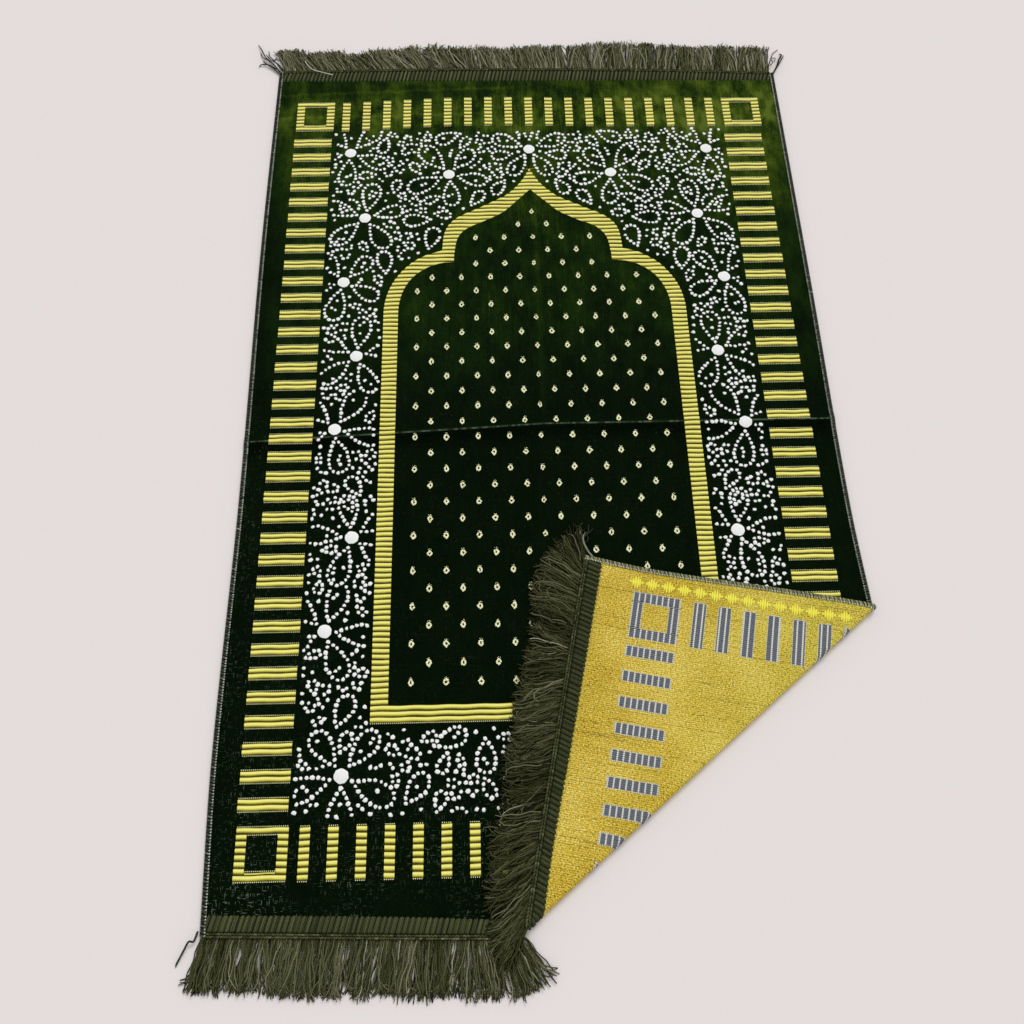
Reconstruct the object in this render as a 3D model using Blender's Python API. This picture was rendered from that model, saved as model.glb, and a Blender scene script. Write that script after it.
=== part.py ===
"""Prayer rug: a velvet mat that lies flat with one corner folded over.

Every piece is cut from one flat plan of the rug, u across and v along, and then laid by the
function lay(), which carries the plan round the fold. Metres, +Z up, +Y towards the niche's
point, and the origin on the floor under the middle of the rug's box.
"""

import math
import random
from collections import namedtuple

import bmesh
import bpy

# Sheet and trims
CLOTH_THICKNESS = 0.003
BINDING_WIDTH = 0.005
HEEL_WIDTH = 0.0025
FRINGE_THICKNESS = 0.0024
HALF_GAP = 0.00015

# The fold: its line's direction, where the bend starts, and how the flap comes to rest
FOLD_DIRECTION = math.radians(39.07)
FOLD_START = 0.3999
FOLD_RADIUS = 0.0035
FOLD_SLIP = 0.006
FLAP_GAP = 0.001
FLAP_SETTLES_OVER = 0.05
BEND_STEPS = 8
SETTLE_STEPS = 5

# The crease across the middle, where the rug was once folded in half
CREASE_HEIGHT = 0.0012
CREASE_HALF_WIDTH = 0.012

# The plan's grid
COLUMN_CELLS = 22
ROWS_BELOW_CREASE = 6
ROWS_ABOVE_CREASE = 6

# The fringe
TEETH = 44
TOOTH_SHARE = 0.78
TOOTH_TAPER = (0.92, 0.76, 0.5)
TOOTH_THINNING = (1.0, 0.9, 0.8)
FLAP_FRINGE_REST = CLOTH_THICKNESS + 0.0004
HEADING_JITTER = 3.0
REACH_JITTER = 0.06

# The plan's own origin lies this far from the middle of the rug's box
PLAN_SHIFT = (0.0099, -0.0033)

EdgePoint = namedtuple("EdgePoint", "along across")
LEFT_EDGE = (
    EdgePoint(along=-0.546, across=-0.3360),
    EdgePoint(along=-0.383, across=-0.3410),
    EdgePoint(along=-0.103, across=-0.3388),
    EdgePoint(along=0.252, across=-0.3417),
    EdgePoint(along=0.561, across=-0.3397),
)
RIGHT_EDGE = (
    EdgePoint(along=-0.557, across=0.3460),
    EdgePoint(along=-0.480, across=0.3425),
    EdgePoint(along=-0.300, across=0.3465),
    EdgePoint(along=-0.120, across=0.3408),
    EdgePoint(along=0.190, across=0.3430),
    EdgePoint(along=0.548, across=0.3440),
)
TOP_EDGE = (
    EdgePoint(along=-0.340, across=0.5610),
    EdgePoint(along=-0.120, across=0.5622),
    EdgePoint(along=0.159, across=0.5567),
    EdgePoint(along=0.344, across=0.5478),
)
TOP_SEAM = (
    EdgePoint(along=-0.340, across=0.5440),
    EdgePoint(along=-0.174, across=0.5414),
    EdgePoint(along=0.158, across=0.5375),
    EdgePoint(along=0.344, across=0.5344),
)
CREASE = (
    EdgePoint(along=-0.340, across=-0.0244),
    EdgePoint(along=-0.208, across=-0.0167),
    EdgePoint(along=0.005, across=-0.0068),
    EdgePoint(along=0.344, across=-0.0068),
)
BOTTOM_SEAM = (
    EdgePoint(along=-0.336, across=-0.5284),
    EdgePoint(along=-0.151, across=-0.5343),
    EdgePoint(along=0.020, across=-0.5425),
    EdgePoint(along=0.145, across=-0.5406),
    EdgePoint(along=0.346, across=-0.5385),
)
BOTTOM_EDGE = (
    EdgePoint(along=-0.336, across=-0.5457),
    EdgePoint(along=-0.068, across=-0.5541),
    EdgePoint(along=0.100, across=-0.5558),
    EdgePoint(along=0.346, across=-0.5565),
)

# How the fringe lies: heading is the strands' direction on the floor in degrees from +X
Strands = namedtuple("Strands", "root heading reach")
TOP_STRANDS = (
    Strands(root=-0.340, heading=144, reach=0.046),
    Strands(root=-0.320, heading=124, reach=0.045),
    Strands(root=-0.200, heading=123, reach=0.045),
    Strands(root=-0.110, heading=116, reach=0.054),
    Strands(root=-0.030, heading=106, reach=0.048),
    Strands(root=0.050, heading=93, reach=0.049),
    Strands(root=0.110, heading=92, reach=0.052),
    Strands(root=0.200, heading=87, reach=0.046),
    Strands(root=0.344, heading=82, reach=0.042),
)
BOTTOM_STRANDS = (
    Strands(root=-0.336, heading=255, reach=0.047),
    Strands(root=-0.300, heading=263, reach=0.050),
    Strands(root=-0.160, heading=266, reach=0.051),
    Strands(root=-0.090, heading=272, reach=0.053),
    Strands(root=-0.055, heading=284, reach=0.053),
    Strands(root=-0.041, heading=302, reach=0.050),
)
FLAP_STRANDS = (
    Strands(root=-0.030, heading=243, reach=0.052),
    Strands(root=-0.013, heading=226, reach=0.053),
    Strands(root=0.030, heading=207, reach=0.055),
    Strands(root=0.080, heading=191, reach=0.050),
    Strands(root=0.190, heading=186, reach=0.052),
    Strands(root=0.240, heading=166, reach=0.047),
    Strands(root=0.295, heading=140, reach=0.049),
    Strands(root=0.346, heading=112, reach=0.036),
)

ACROSS_FOLD = (math.sin(FOLD_DIRECTION), -math.cos(FOLD_DIRECTION))
ALONG_FOLD = (math.cos(FOLD_DIRECTION), math.sin(FOLD_DIRECTION))
BEND_LENGTH = math.pi * FOLD_RADIUS
BASE_MIDDLE = CLOTH_THICKNESS / 2
FOLD_TOP = BASE_MIDDLE + 2 * FOLD_RADIUS
FLAP_MIDDLE = BASE_MIDDLE + CLOTH_THICKNESS + FLAP_GAP
BACK = -CLOTH_THICKNESS / 2
PILE = CLOTH_THICKNESS / 2


def clear_scene():
    """Removes every object that the file opened with."""
    for thing in list(bpy.data.objects):
        bpy.data.objects.remove(thing, do_unlink=True)


def smooth_step(share):
    """Eases from 0 to 1."""
    share = min(1.0, max(0.0, share))
    return share * share * (3 - 2 * share)


def follow(table, place, column):
    """Reads a column of a table at a place along it, on a smooth curve through its rows."""
    places = [row[0] for row in table]
    values = [getattr(row, column) for row in table]
    last = len(places) - 1
    k = 0
    while k < last - 1 and place > places[k + 1]:
        k += 1

    def slope(i):
        before = max(0, i - 1)
        after = min(last, i + 1)
        return (values[after] - values[before]) / (places[after] - places[before])

    step = places[k + 1] - places[k]
    share = min(1.0, max(0.0, (place - places[k]) / step))
    start = (1 + 2 * share) * (1 - share) ** 2 * values[k] + share * (1 - share) ** 2 * step * slope(k)
    end = share**2 * (3 - 2 * share) * values[k + 1] - share**2 * (1 - share) * step * slope(k + 1)
    return start + end


def edge(table, place):
    """Where an edge of the plan lies at a place along it."""
    return follow(table, place, "across")


def crease_lift(u, v):
    """How far the middle crease lifts the sheet."""
    away = (v - edge(CREASE, u)) / CREASE_HALF_WIDTH
    if abs(away) >= 1:
        return 0.0
    return CREASE_HEIGHT * math.cos(away * math.pi / 2) ** 2


def lay(u, v, height):
    """Carries a point of the plan, at a height over the sheet's middle, to its place on the floor."""
    across = u * ACROSS_FOLD[0] + v * ACROSS_FOLD[1]
    along = u * ALONG_FOLD[0] + v * ALONG_FOLD[1]
    past = across - FOLD_START
    if past <= 0:
        z = BASE_MIDDLE + crease_lift(u, v) + height
    elif past < BEND_LENGTH:
        turn = past / FOLD_RADIUS
        across = FOLD_START + (FOLD_RADIUS - height) * math.sin(turn)
        z = BASE_MIDDLE + FOLD_RADIUS - (FOLD_RADIUS - height) * math.cos(turn)
        along += FOLD_SLIP * smooth_step(past / BEND_LENGTH)
    else:
        across = FOLD_START - (past - BEND_LENGTH)
        settled = smooth_step((past - BEND_LENGTH) / FLAP_SETTLES_OVER)
        z = FOLD_TOP + (FLAP_MIDDLE - FOLD_TOP) * settled - height
        along += FOLD_SLIP
    x = across * ACROSS_FOLD[0] + along * ALONG_FOLD[0] + PLAN_SHIFT[0]
    y = across * ACROSS_FOLD[1] + along * ALONG_FOLD[1] + PLAN_SHIFT[1]
    return (x, y, z)


def fold_lines():
    """The lines across the fold, as distances, along which every sheet is cut before it bends."""
    lines = [FOLD_START + BEND_LENGTH * k / BEND_STEPS for k in range(BEND_STEPS + 1)]
    end = FOLD_START + BEND_LENGTH
    return lines + [end + FLAP_SETTLES_OVER * k / SETTLE_STEPS for k in range(1, SETTLE_STEPS + 1)]


def blend(low, high, share):
    """A value between two others."""
    return low + (high - low) * share


def plan_rows():
    """The plan's lines across the rug, from the bottom fringe's heel to the top one's."""
    near = CREASE_HALF_WIDTH
    rows = [
        lambda u: edge(BOTTOM_EDGE, u) - HEEL_WIDTH,
        lambda u: edge(BOTTOM_EDGE, u),
        lambda u: edge(BOTTOM_SEAM, u),
    ]
    for k in range(1, ROWS_BELOW_CREASE):
        share = k / ROWS_BELOW_CREASE
        rows.append(lambda u, share=share: blend(edge(BOTTOM_SEAM, u), edge(CREASE, u) - near, share))
    for offset in (-near, -near / 2, 0.0, near / 2, near):
        rows.append(lambda u, offset=offset: edge(CREASE, u) + offset)
    for k in range(1, ROWS_ABOVE_CREASE):
        share = k / ROWS_ABOVE_CREASE
        rows.append(lambda u, share=share: blend(edge(CREASE, u) + near, edge(TOP_SEAM, u), share))
    rows.append(lambda u: edge(TOP_SEAM, u))
    rows.append(lambda u: edge(TOP_EDGE, u))
    rows.append(lambda u: edge(TOP_EDGE, u) + HEEL_WIDTH)
    return rows


def plan_columns():
    """The plan's lines along the rug, from the left binding's edge to the right one's."""
    columns = [lambda v: edge(LEFT_EDGE, v)]
    for k in range(COLUMN_CELLS + 1):
        share = k / COLUMN_CELLS
        columns.append(
            lambda v, share=share: blend(
                edge(LEFT_EDGE, v) + BINDING_WIDTH, edge(RIGHT_EDGE, v) - BINDING_WIDTH, share
            )
        )
    columns.append(lambda v: edge(RIGHT_EDGE, v))
    return columns


ROWS = plan_rows()
COLUMNS = plan_columns()
LAST_ROW = len(ROWS) - 1
LAST_COLUMN = len(COLUMNS) - 1


def plan_point(column, row):
    """Where two of the plan's lines cross."""
    u = 0.0
    v = 0.0
    for _ in range(3):
        v = ROWS[row](u)
        u = COLUMNS[column](v)
    return u, v


def make_material(name, colour, roughness):
    """A plain woven finish."""
    material = bpy.data.materials.new(name)
    material.use_nodes = True
    shader = material.node_tree.nodes["Principled BSDF"]
    shader.inputs["Base Color"].default_value = (*colour, 1.0)
    shader.inputs["Roughness"].default_value = roughness
    shader.inputs["Metallic"].default_value = 0.0
    return material


def close_sheet(name, pile_side, back_side, faces, material):
    """Joins two sides of a sheet round its rim into one closed solid.

    faces are counter-clockwise seen from the pile side.
    """
    count = len(pile_side)
    sides = {}
    for face in faces:
        for start, end in zip(face, face[1:] + face[:1]):
            sides[(start, end)] = True
    solid = [tuple(face) for face in faces]
    solid += [tuple(corner + count for corner in reversed(face)) for face in faces]
    for start, end in sides:
        if (end, start) not in sides:
            solid.append((start + count, end + count, end, start))
    mesh = bpy.data.meshes.new(name)
    mesh.from_pydata(list(pile_side) + list(back_side), [], solid)
    mesh.validate()
    mesh.materials.append(material)
    thing = bpy.data.objects.new(name, mesh)
    bpy.context.collection.objects.link(thing)
    return thing


def cut_sheet(name, columns, rows, material):
    """Cuts a piece from the plan between two columns and two rows, and lays it.

    Each side that faces another piece stands back by half a gap.
    """
    first_column, last_column = columns
    first_row, last_row = rows
    sheet = bmesh.new()
    grid = {}
    for i in range(first_column, last_column + 1):
        for j in range(first_row, last_row + 1):
            u, v = plan_point(i, j)
            if i == first_column and i > 0:
                u += HALF_GAP
            if i == last_column and i < LAST_COLUMN:
                u -= HALF_GAP
            if j == first_row:
                v += HALF_GAP
            if j == last_row:
                v -= HALF_GAP
            grid[(i, j)] = sheet.verts.new((u, v, 0.0))
    for i in range(first_column, last_column):
        for j in range(first_row, last_row):
            sheet.faces.new((grid[(i, j)], grid[(i + 1, j)], grid[(i + 1, j + 1)], grid[(i, j + 1)]))
    for line in fold_lines():
        bmesh.ops.bisect_plane(
            sheet,
            geom=sheet.verts[:] + sheet.edges[:] + sheet.faces[:],
            dist=1e-5,
            plane_co=(line * ACROSS_FOLD[0], line * ACROSS_FOLD[1], 0.0),
            plane_no=(*ACROSS_FOLD, 0.0),
        )
    bmesh.ops.triangulate(sheet, faces=sheet.faces[:])
    sheet.verts.index_update()
    places = [vertex.co.copy() for vertex in sheet.verts]
    faces = [[vertex.index for vertex in face.verts] for face in sheet.faces]
    sheet.free()
    pile_side = [lay(place.x, place.y, PILE) for place in places]
    back_side = [lay(place.x, place.y, BACK) for place in places]
    return close_sheet(name, pile_side, back_side, faces, material)


def fold_crossings(table):
    """Where the bend's lines cross an edge of the plan."""
    crossings = []
    for line in fold_lines():
        u = 0.0
        for _ in range(6):
            u = (line - edge(table, u) * ACROSS_FOLD[1]) / ACROSS_FOLD[0]
        crossings.append(u)
    return crossings


def past_fold(u, v):
    """How far a point of the plan lies past the start of the bend."""
    return u * ACROSS_FOLD[0] + v * ACROSS_FOLD[1] - FOLD_START


def make_fringe(name, table, outward, material):
    """One comb: a heel along the band, and a tapered tooth for each bunch of strands.

    table is the edge that the heel runs along, and outward is +1 at the top and -1 at the bottom.
    """
    draw = random.Random(name)
    start = edge(LEFT_EDGE, edge(table, table[0].along))
    end = edge(RIGHT_EDGE, edge(table, table[-1].along))
    pitch = (end - start) / TEETH
    margin = pitch * (1 - TOOTH_SHARE) / 2
    roots = [(start + k * pitch + margin, start + (k + 1) * pitch - margin) for k in range(TEETH)]
    crossings = fold_crossings(table) if outward < 0 else []
    bend = (crossings[0], crossings[BEND_STEPS]) if crossings else (end, end)
    roots = [
        root for root in roots if root[1] < bend[0] - margin or root[0] > bend[1] + margin
    ]
    if crossings:
        roots.append((crossings[2], crossings[BEND_STEPS - 3]))
    roots.sort()
    inside_teeth = [u for u in crossings if any(root[0] - margin < u < root[1] + margin for root in roots)]
    stations = sorted(
        [start, end]
        + [u for root in roots for u in root]
        + [u for u in crossings if u not in inside_teeth and start < u < end]
    )
    pile_side, back_side, faces = [], [], []

    def station(u, v):
        pile_side.append(lay(u, v, BACK + FRINGE_THICKNESS))
        back_side.append(lay(u, v, BACK))
        return len(pile_side) - 1

    def add(*corners):
        faces.append(list(corners) if outward < 0 else list(reversed(corners)))

    inner = [station(u, edge(table, u) + outward * 2 * HALF_GAP) for u in stations]
    outer = [station(u, edge(table, u) + outward * HEEL_WIDTH) for u in stations]
    for k in range(len(stations) - 1):
        add(inner[k], outer[k], outer[k + 1], inner[k + 1])
    for root in roots:
        k = stations.index(root[0])
        add_tooth(pile_side, back_side, add, outer[k], outer[k + 1], root, outward, draw)
    return close_sheet(name, pile_side, back_side, faces, material)


def add_tooth(pile_side, back_side, add, left, right, root, outward, draw):
    """Grows one tooth from two stations of the heel."""
    middle_u = (root[0] + root[1]) / 2
    on_flap = outward < 0 and past_fold(middle_u, edge(BOTTOM_EDGE, middle_u)) > BEND_LENGTH
    if outward > 0:
        table = TOP_STRANDS
    else:
        table = FLAP_STRANDS if on_flap else BOTTOM_STRANDS
    heading = math.radians(follow(table, middle_u, "heading") + draw.uniform(-HEADING_JITTER, HEADING_JITTER))
    reach = follow(table, middle_u, "reach") * (1 + draw.uniform(-REACH_JITTER, REACH_JITTER))
    ahead = (math.cos(heading), math.sin(heading))
    low, high = pile_side[left], pile_side[right]
    base = [(low[axis] + high[axis]) / 2 for axis in range(3)]
    aside = (ahead[1], -ahead[0])
    toward_left = (low[0] - high[0]) * aside[0] + (low[1] - high[1]) * aside[1]
    half_width = (root[1] - root[0]) / 2
    side = half_width if toward_left > 0 else -half_width
    under_root = min(pile_side[left][2], pile_side[right][2], back_side[left][2], back_side[right][2])
    under_tip = FLAP_FRINGE_REST if on_flap else 0.0
    steps = len(TOOTH_TAPER)
    for k in range(1, steps + 1):
        share = k / steps
        width = side * TOOTH_TAPER[k - 1]
        thickness = FRINGE_THICKNESS * TOOTH_THINNING[k - 1]
        floor = blend(under_root, under_tip, smooth_step(share * 1.5))
        centre = (base[0] + ahead[0] * reach * share, base[1] + ahead[1] * reach * share)
        first = len(pile_side)
        for sign in (1, -1):
            x = centre[0] + aside[0] * width * sign
            y = centre[1] + aside[1] * width * sign
            pile_side.append((x, y, floor if on_flap else floor + thickness))
            back_side.append((x, y, floor + thickness if on_flap else floor))
        add(left, first, first + 1, right)
        left, right = first, first + 1


def build_rug():
    """Makes the seven pieces of the rug."""
    velvet = make_material("velvet", (0.018, 0.032, 0.010), 0.9)
    tape = make_material("heading_tape", (0.070, 0.075, 0.035), 0.85)
    yarn = make_material("fringe_yarn", (0.085, 0.085, 0.048), 0.85)
    thread = make_material("edge_thread", (0.110, 0.115, 0.105), 0.8)
    inside = (1, LAST_COLUMN - 1)
    cut_sheet("rug_cloth", inside, (2, LAST_ROW - 2), velvet)
    cut_sheet("bottom_band", inside, (1, 2), tape)
    cut_sheet("top_band", inside, (LAST_ROW - 2, LAST_ROW - 1), tape)
    cut_sheet("left_binding", (0, 1), (1, LAST_ROW - 1), thread)
    cut_sheet("right_binding", (LAST_COLUMN - 1, LAST_COLUMN), (1, LAST_ROW - 1), thread)
    make_fringe("top_fringe", TOP_EDGE, 1, yarn)
    make_fringe("bottom_fringe", BOTTOM_EDGE, -1, yarn)


clear_scene()
build_rug()
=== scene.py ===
"""Prayer rug: its velvet cloth, woven figures, sewn bands, bindings and fringes.

Everything is drawn on one flat plan of the rug, u across it and v along it, and carried round the
folded corner by RugPlan.lay(). Metres, +Z up, +Y towards the niche's point, the origin on the floor.
"""

import logging
import math
from dataclasses import dataclass
from enum import Enum
from typing import Callable, NamedTuple

import bmesh
import bpy
import numpy as np
from mathutils import Matrix, Vector


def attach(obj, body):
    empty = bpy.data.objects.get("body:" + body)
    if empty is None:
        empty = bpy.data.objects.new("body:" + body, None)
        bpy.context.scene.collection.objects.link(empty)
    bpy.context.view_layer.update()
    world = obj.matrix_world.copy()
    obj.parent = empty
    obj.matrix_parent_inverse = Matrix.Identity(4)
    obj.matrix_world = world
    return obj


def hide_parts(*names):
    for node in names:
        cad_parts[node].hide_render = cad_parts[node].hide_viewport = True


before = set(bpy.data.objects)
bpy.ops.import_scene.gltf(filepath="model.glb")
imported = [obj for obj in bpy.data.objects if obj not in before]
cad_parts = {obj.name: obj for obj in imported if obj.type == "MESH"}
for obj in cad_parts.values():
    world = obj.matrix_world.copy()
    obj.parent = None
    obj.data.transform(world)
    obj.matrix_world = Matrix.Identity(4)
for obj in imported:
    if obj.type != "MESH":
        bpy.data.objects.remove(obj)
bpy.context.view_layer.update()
BODY = "root"
LOG = logging.getLogger("prayer_rug")
YARN_SIDES = 4
YARN_SHARP = 100.0
TUFT_SINK = 0.0003
TUFT_HEIGHT = 0.0010

Array = np.ndarray
Tint = tuple[float, float, float, float]
Line = Callable[[Array], Array]
Draw = np.random.Generator
Socket = bpy.types.NodeSocket
Material = bpy.types.Material
Piece = bpy.types.Object
Tree = bpy.types.NodeTree
Node = bpy.types.Node
Triple = tuple[float, float, float]
Pair = tuple[float, float]


class EdgePoint(NamedTuple):
    """A place along an edge, and how far across it lies."""

    along: float
    across: float


class Strands(NamedTuple):
    """How the fringe lies near one root: its direction in degrees from +X, and its length."""

    root: float
    heading: float
    reach: float


class BarPlace(NamedTuple):
    """Where the middle of one bar lies along its own row of bars."""

    bar: int
    along: float


class NichePoint(NamedTuple):
    """Half the niche's width at one height."""

    along: float
    half: float


class Shoulder(NamedTuple):
    """A shoulder of the niche: where its curve is centred, its height and its roundness."""

    across: float
    along: float
    rise: float
    roundness: float


class Fade(NamedTuple):
    """A smooth change between two places or values, from a start level to an end level."""

    low: float
    high: float
    start: float = 0.0
    end: float = 1.0


class Blotch(NamedTuple):
    """One size of blotch of painted sheen in the pile: its scale, how squat it is and its weight."""

    scale: float
    squat: float
    weight: float


class PressedLine(NamedTuple):
    """One pressed line across the pile, shown as painted sheen: its level, its slant and how far across it
    reaches.
    """

    level: float
    slant: float
    reach: float


class LooseEnd(NamedTuple):
    """One loose end of thread: its radius, its tone and the points it passes."""

    radius: float
    tone: float
    points: tuple[Triple, ...]


class FlowerPlace(NamedTuple):
    """The middle of one flower, and how far its first petal is turned, in degrees."""

    across: float
    along: float
    turn: float


def rows(kind: type, *values: tuple) -> tuple:
    """Makes a table: one row of the kind for each tuple of its columns."""
    return tuple(kind(*value) for value in values)


LEFT_EDGE = rows(
    EdgePoint,
    (-0.546, -0.3360), (-0.383, -0.3410), (-0.103, -0.3388), (0.252, -0.3417), (0.561, -0.3397),
)
RIGHT_EDGE = rows(
    EdgePoint,
    (-0.557, 0.3460), (-0.480, 0.3425), (-0.300, 0.3465), (-0.120, 0.3408), (0.190, 0.3430),
    (0.548, 0.3440),
)
TOP_EDGE = rows(
    EdgePoint,
    (-0.340, 0.5610), (-0.120, 0.5622), (0.159, 0.5567), (0.344, 0.5478),
)
TOP_SEAM = rows(
    EdgePoint,
    (-0.340, 0.5440), (-0.174, 0.5414), (0.158, 0.5375), (0.344, 0.5344),
)
CREASE = rows(
    EdgePoint,
    (-0.340, -0.0244), (-0.208, -0.0167), (0.005, -0.0068), (0.344, -0.0068),
)
BOTTOM_SEAM = rows(
    EdgePoint,
    (-0.336, -0.5284), (-0.151, -0.5343), (0.020, -0.5425), (0.145, -0.5406), (0.346, -0.5385),
)
BOTTOM_EDGE = rows(
    EdgePoint,
    (-0.336, -0.5457), (-0.068, -0.5541), (0.100, -0.5558), (0.346, -0.5565),
)
TOP_STRANDS = rows(
    Strands,
    (-0.340, 93, 0.047), (-0.318, 111, 0.048), (-0.285, 121, 0.047), (-0.200, 123, 0.046),
    (-0.110, 116, 0.054), (-0.030, 106, 0.048), (0.050, 93, 0.049), (0.110, 92, 0.055), (0.200, 87, 0.053),
    (0.344, 88, 0.051),
)
BOTTOM_STRANDS = rows(
    Strands,
    (-0.336, 262, 0.047), (-0.312, 261, 0.050), (-0.250, 263, 0.051), (-0.160, 265, 0.051),
    (-0.090, 272, 0.053), (-0.055, 288, 0.054), (-0.041, 305, 0.050),
)
FLAP_STRANDS = rows(
    Strands,
    (-0.030, 243, 0.052), (-0.013, 226, 0.053), (0.030, 207, 0.055), (0.080, 191, 0.050),
    (0.190, 186, 0.052), (0.240, 166, 0.047), (0.295, 143, 0.053), (0.325, 124, 0.050), (0.346, 99, 0.043),
)
LEFT_BARS = rows(
    BarPlace,
    (0, 0.4290), (17, 0.0010), (18, -0.0205), (19, -0.0436), (31, -0.3466), (34, -0.4280),
)
RIGHT_BARS = rows(
    BarPlace,
    (0, 0.4290), (26, -0.2264), (28, -0.2708), (34, -0.4280),
)
END_ROW = rows(
    BarPlace,
    (0, -0.2443), (18, 0.2476),
)
SQUARES = ((-0.2855, 0.4760), (0.2905, 0.4755), (-0.2850, -0.4740), (0.2880, -0.4742))
TOP_BARS = rows(
    EdgePoint,
    (-0.244, 0.4750), (-0.106, 0.4820), (-0.024, 0.4820), (0.100, 0.4785), (0.250, 0.4760),
)
OUTER_OGEE = rows(
    NichePoint,
    (0.2455, 0.1140), (0.2775, 0.1100), (0.2963, 0.0975), (0.3113, 0.0725), (0.3250, 0.0475),
    (0.3363, 0.0300), (0.3563, 0.0125), (0.3788, 0.0000),
)
INNER_OGEE = rows(
    NichePoint,
    (0.2280, 0.0988), (0.2425, 0.0980), (0.2675, 0.0930), (0.2825, 0.0800), (0.2950, 0.0550),
    (0.3075, 0.0350), (0.3225, 0.0200), (0.3438, 0.0000),
)
LEFT_ENDS = (
    LooseEnd(0.0009, 0.20, ((-0.3290, 0.5560, 0.0030), (-0.3407, 0.5740, 0.0040),
             (-0.3511, 0.5855, 0.0035), (-0.3579, 0.6005, 0.0030), (-0.3640, 0.6130, 0.0012))),
    LooseEnd(0.0008, 0.15, ((-0.3295, 0.5590, 0.0030), (-0.3447, 0.5710, 0.0030),
             (-0.3558, 0.5740, 0.0020), (-0.3600, 0.5700, 0.0012))),
    LooseEnd(0.0008, 0.45, ((-0.3270, 0.5600, 0.0030), (-0.3370, 0.5760, 0.0040),
             (-0.3460, 0.5880, 0.0040), (-0.3480, 0.5990, 0.0030))),
    LooseEnd(0.0009, 0.30, ((-0.3250, 0.5600, 0.0030), (-0.3330, 0.5720, 0.0040),
             (-0.3430, 0.5800, 0.0040), (-0.3520, 0.5930, 0.0020))),
    LooseEnd(0.0008, 0.55, ((-0.3300, 0.5570, 0.0030), (-0.3390, 0.5700, 0.0050),
             (-0.3480, 0.5800, 0.0040), (-0.3560, 0.5880, 0.0020), (-0.3600, 0.5980, 0.0012))),
    LooseEnd(0.0009, 0.35, ((-0.3310, 0.5560, 0.0020), (-0.3400, 0.5660, 0.0030),
             (-0.3500, 0.5740, 0.0030), (-0.3550, 0.5820, 0.0012))),
    LooseEnd(0.0010, 0.40, ((-0.3282, -0.5440, 0.0030), (-0.3310, -0.5525, 0.0040),
             (-0.3354, -0.5529, 0.0045), (-0.3393, -0.5596, 0.0030), (-0.3423, -0.5654, 0.0020),
             (-0.3453, -0.5712, 0.0012), (-0.3459, -0.5740, 0.0010))),
    LooseEnd(0.0006, 1.00, ((-0.2560, 0.5480, 0.0060), (-0.2701, 0.5514, 0.0075),
             (-0.2842, 0.5573, 0.0075), (-0.2932, 0.5690, 0.0070), (-0.2950, 0.5768, 0.0060))),
)
RIGHT_ENDS = (
    LooseEnd(0.0011, 0.12, ((0.3530, 0.5420, 0.0030), (0.3613, 0.5578, 0.0040), (0.3650, 0.5694, 0.0035),
             (0.3705, 0.5790, 0.0025), (0.3680, 0.5830, 0.0012))),
    LooseEnd(0.0009, 0.30, ((0.3540, 0.5440, 0.0030), (0.3620, 0.5578, 0.0030), (0.3675, 0.5680, 0.0025),
             (0.3740, 0.5800, 0.0012))),
    LooseEnd(0.0006, 0.45, ((0.3480, 0.5560, 0.0030), (0.3560, 0.5640, 0.0035), (0.3540, 0.5720, 0.0030),
             (0.3610, 0.5740, 0.0020), (0.3590, 0.5680, 0.0012))),
    LooseEnd(0.0010, 0.80, ((0.0600, -0.1795, 0.0080), (0.0545, -0.1720, 0.0090),
             (0.0512, -0.1630, 0.0080), (0.0505, -0.1556, 0.0065), (0.0530, -0.1500, 0.0050),
             (0.0575, -0.1490, 0.0045))),
    LooseEnd(0.0009, 0.30, ((0.0505, -0.1556, 0.0060), (0.0560, -0.1500, 0.0060),
             (0.0572, -0.1440, 0.0050), (0.0578, -0.1390, 0.0042))),
    LooseEnd(0.0008, 0.25, ((0.0515, -0.1540, 0.0055), (0.0580, -0.1490, 0.0055),
             (0.0620, -0.1440, 0.0042))),
    LooseEnd(0.0008, 0.30, ((0.0545, -0.1500, 0.0050), (0.0560, -0.1560, 0.0050),
             (0.0540, -0.1610, 0.0045))),
)
LARGE_FLOWERS = rows(
    FlowerPlace,
    (0.000, 0.414, 90), (0.106, 0.372, 52), (0.236, 0.411, 200), (0.213, 0.301, 95), (0.236, 0.200, 60),
    (0.216, 0.091, 100), (0.237, -0.009, 118), (0.212, -0.145, 75), (0.236, -0.252, 110),
    (0.212, -0.402, 60),
)
SMALL_FLOWERS = rows(
    FlowerPlace,
    (0.056, 0.424, 20), (0.052, 0.376, 70), (0.158, 0.424, 10), (0.160, 0.328, 50), (0.180, 0.386, 0),
    (0.238, 0.356, 30), (0.166, 0.262, 60), (0.243, 0.250, 15), (0.203, 0.146, 40), (0.244, 0.128, 80),
    (0.241, 0.046, 25), (0.203, -0.052, 55), (0.244, -0.090, 5), (0.243, -0.192, 65), (0.203, -0.204, 35),
    (0.206, -0.300, 20), (0.242, -0.322, 70), (0.152, -0.384, 30), (0.092, -0.412, 10),
    (0.032, -0.388, 45),
)


def tint(red: float, green: float, blue: float) -> Tint:
    """Turns a display colour, 0 to 255 a channel, into the linear one that shaders take.

    Args:
        red: the red channel.
        green: the green channel.
        blue: the blue channel.

    Returns:
        The linear colour with full alpha.
    """
    channels = [value / 255 for value in (red, green, blue)]
    linear = [c / 12.92 if c <= 0.04045 else ((c + 0.055) / 1.055) ** 2.4 for c in channels]
    return (linear[0], linear[1], linear[2], 1.0)


def smooth_step(share: Array) -> Array:
    """Eases from 0 to 1."""
    share = np.clip(share, 0.0, 1.0)
    return share * share * (3 - 2 * share)


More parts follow.
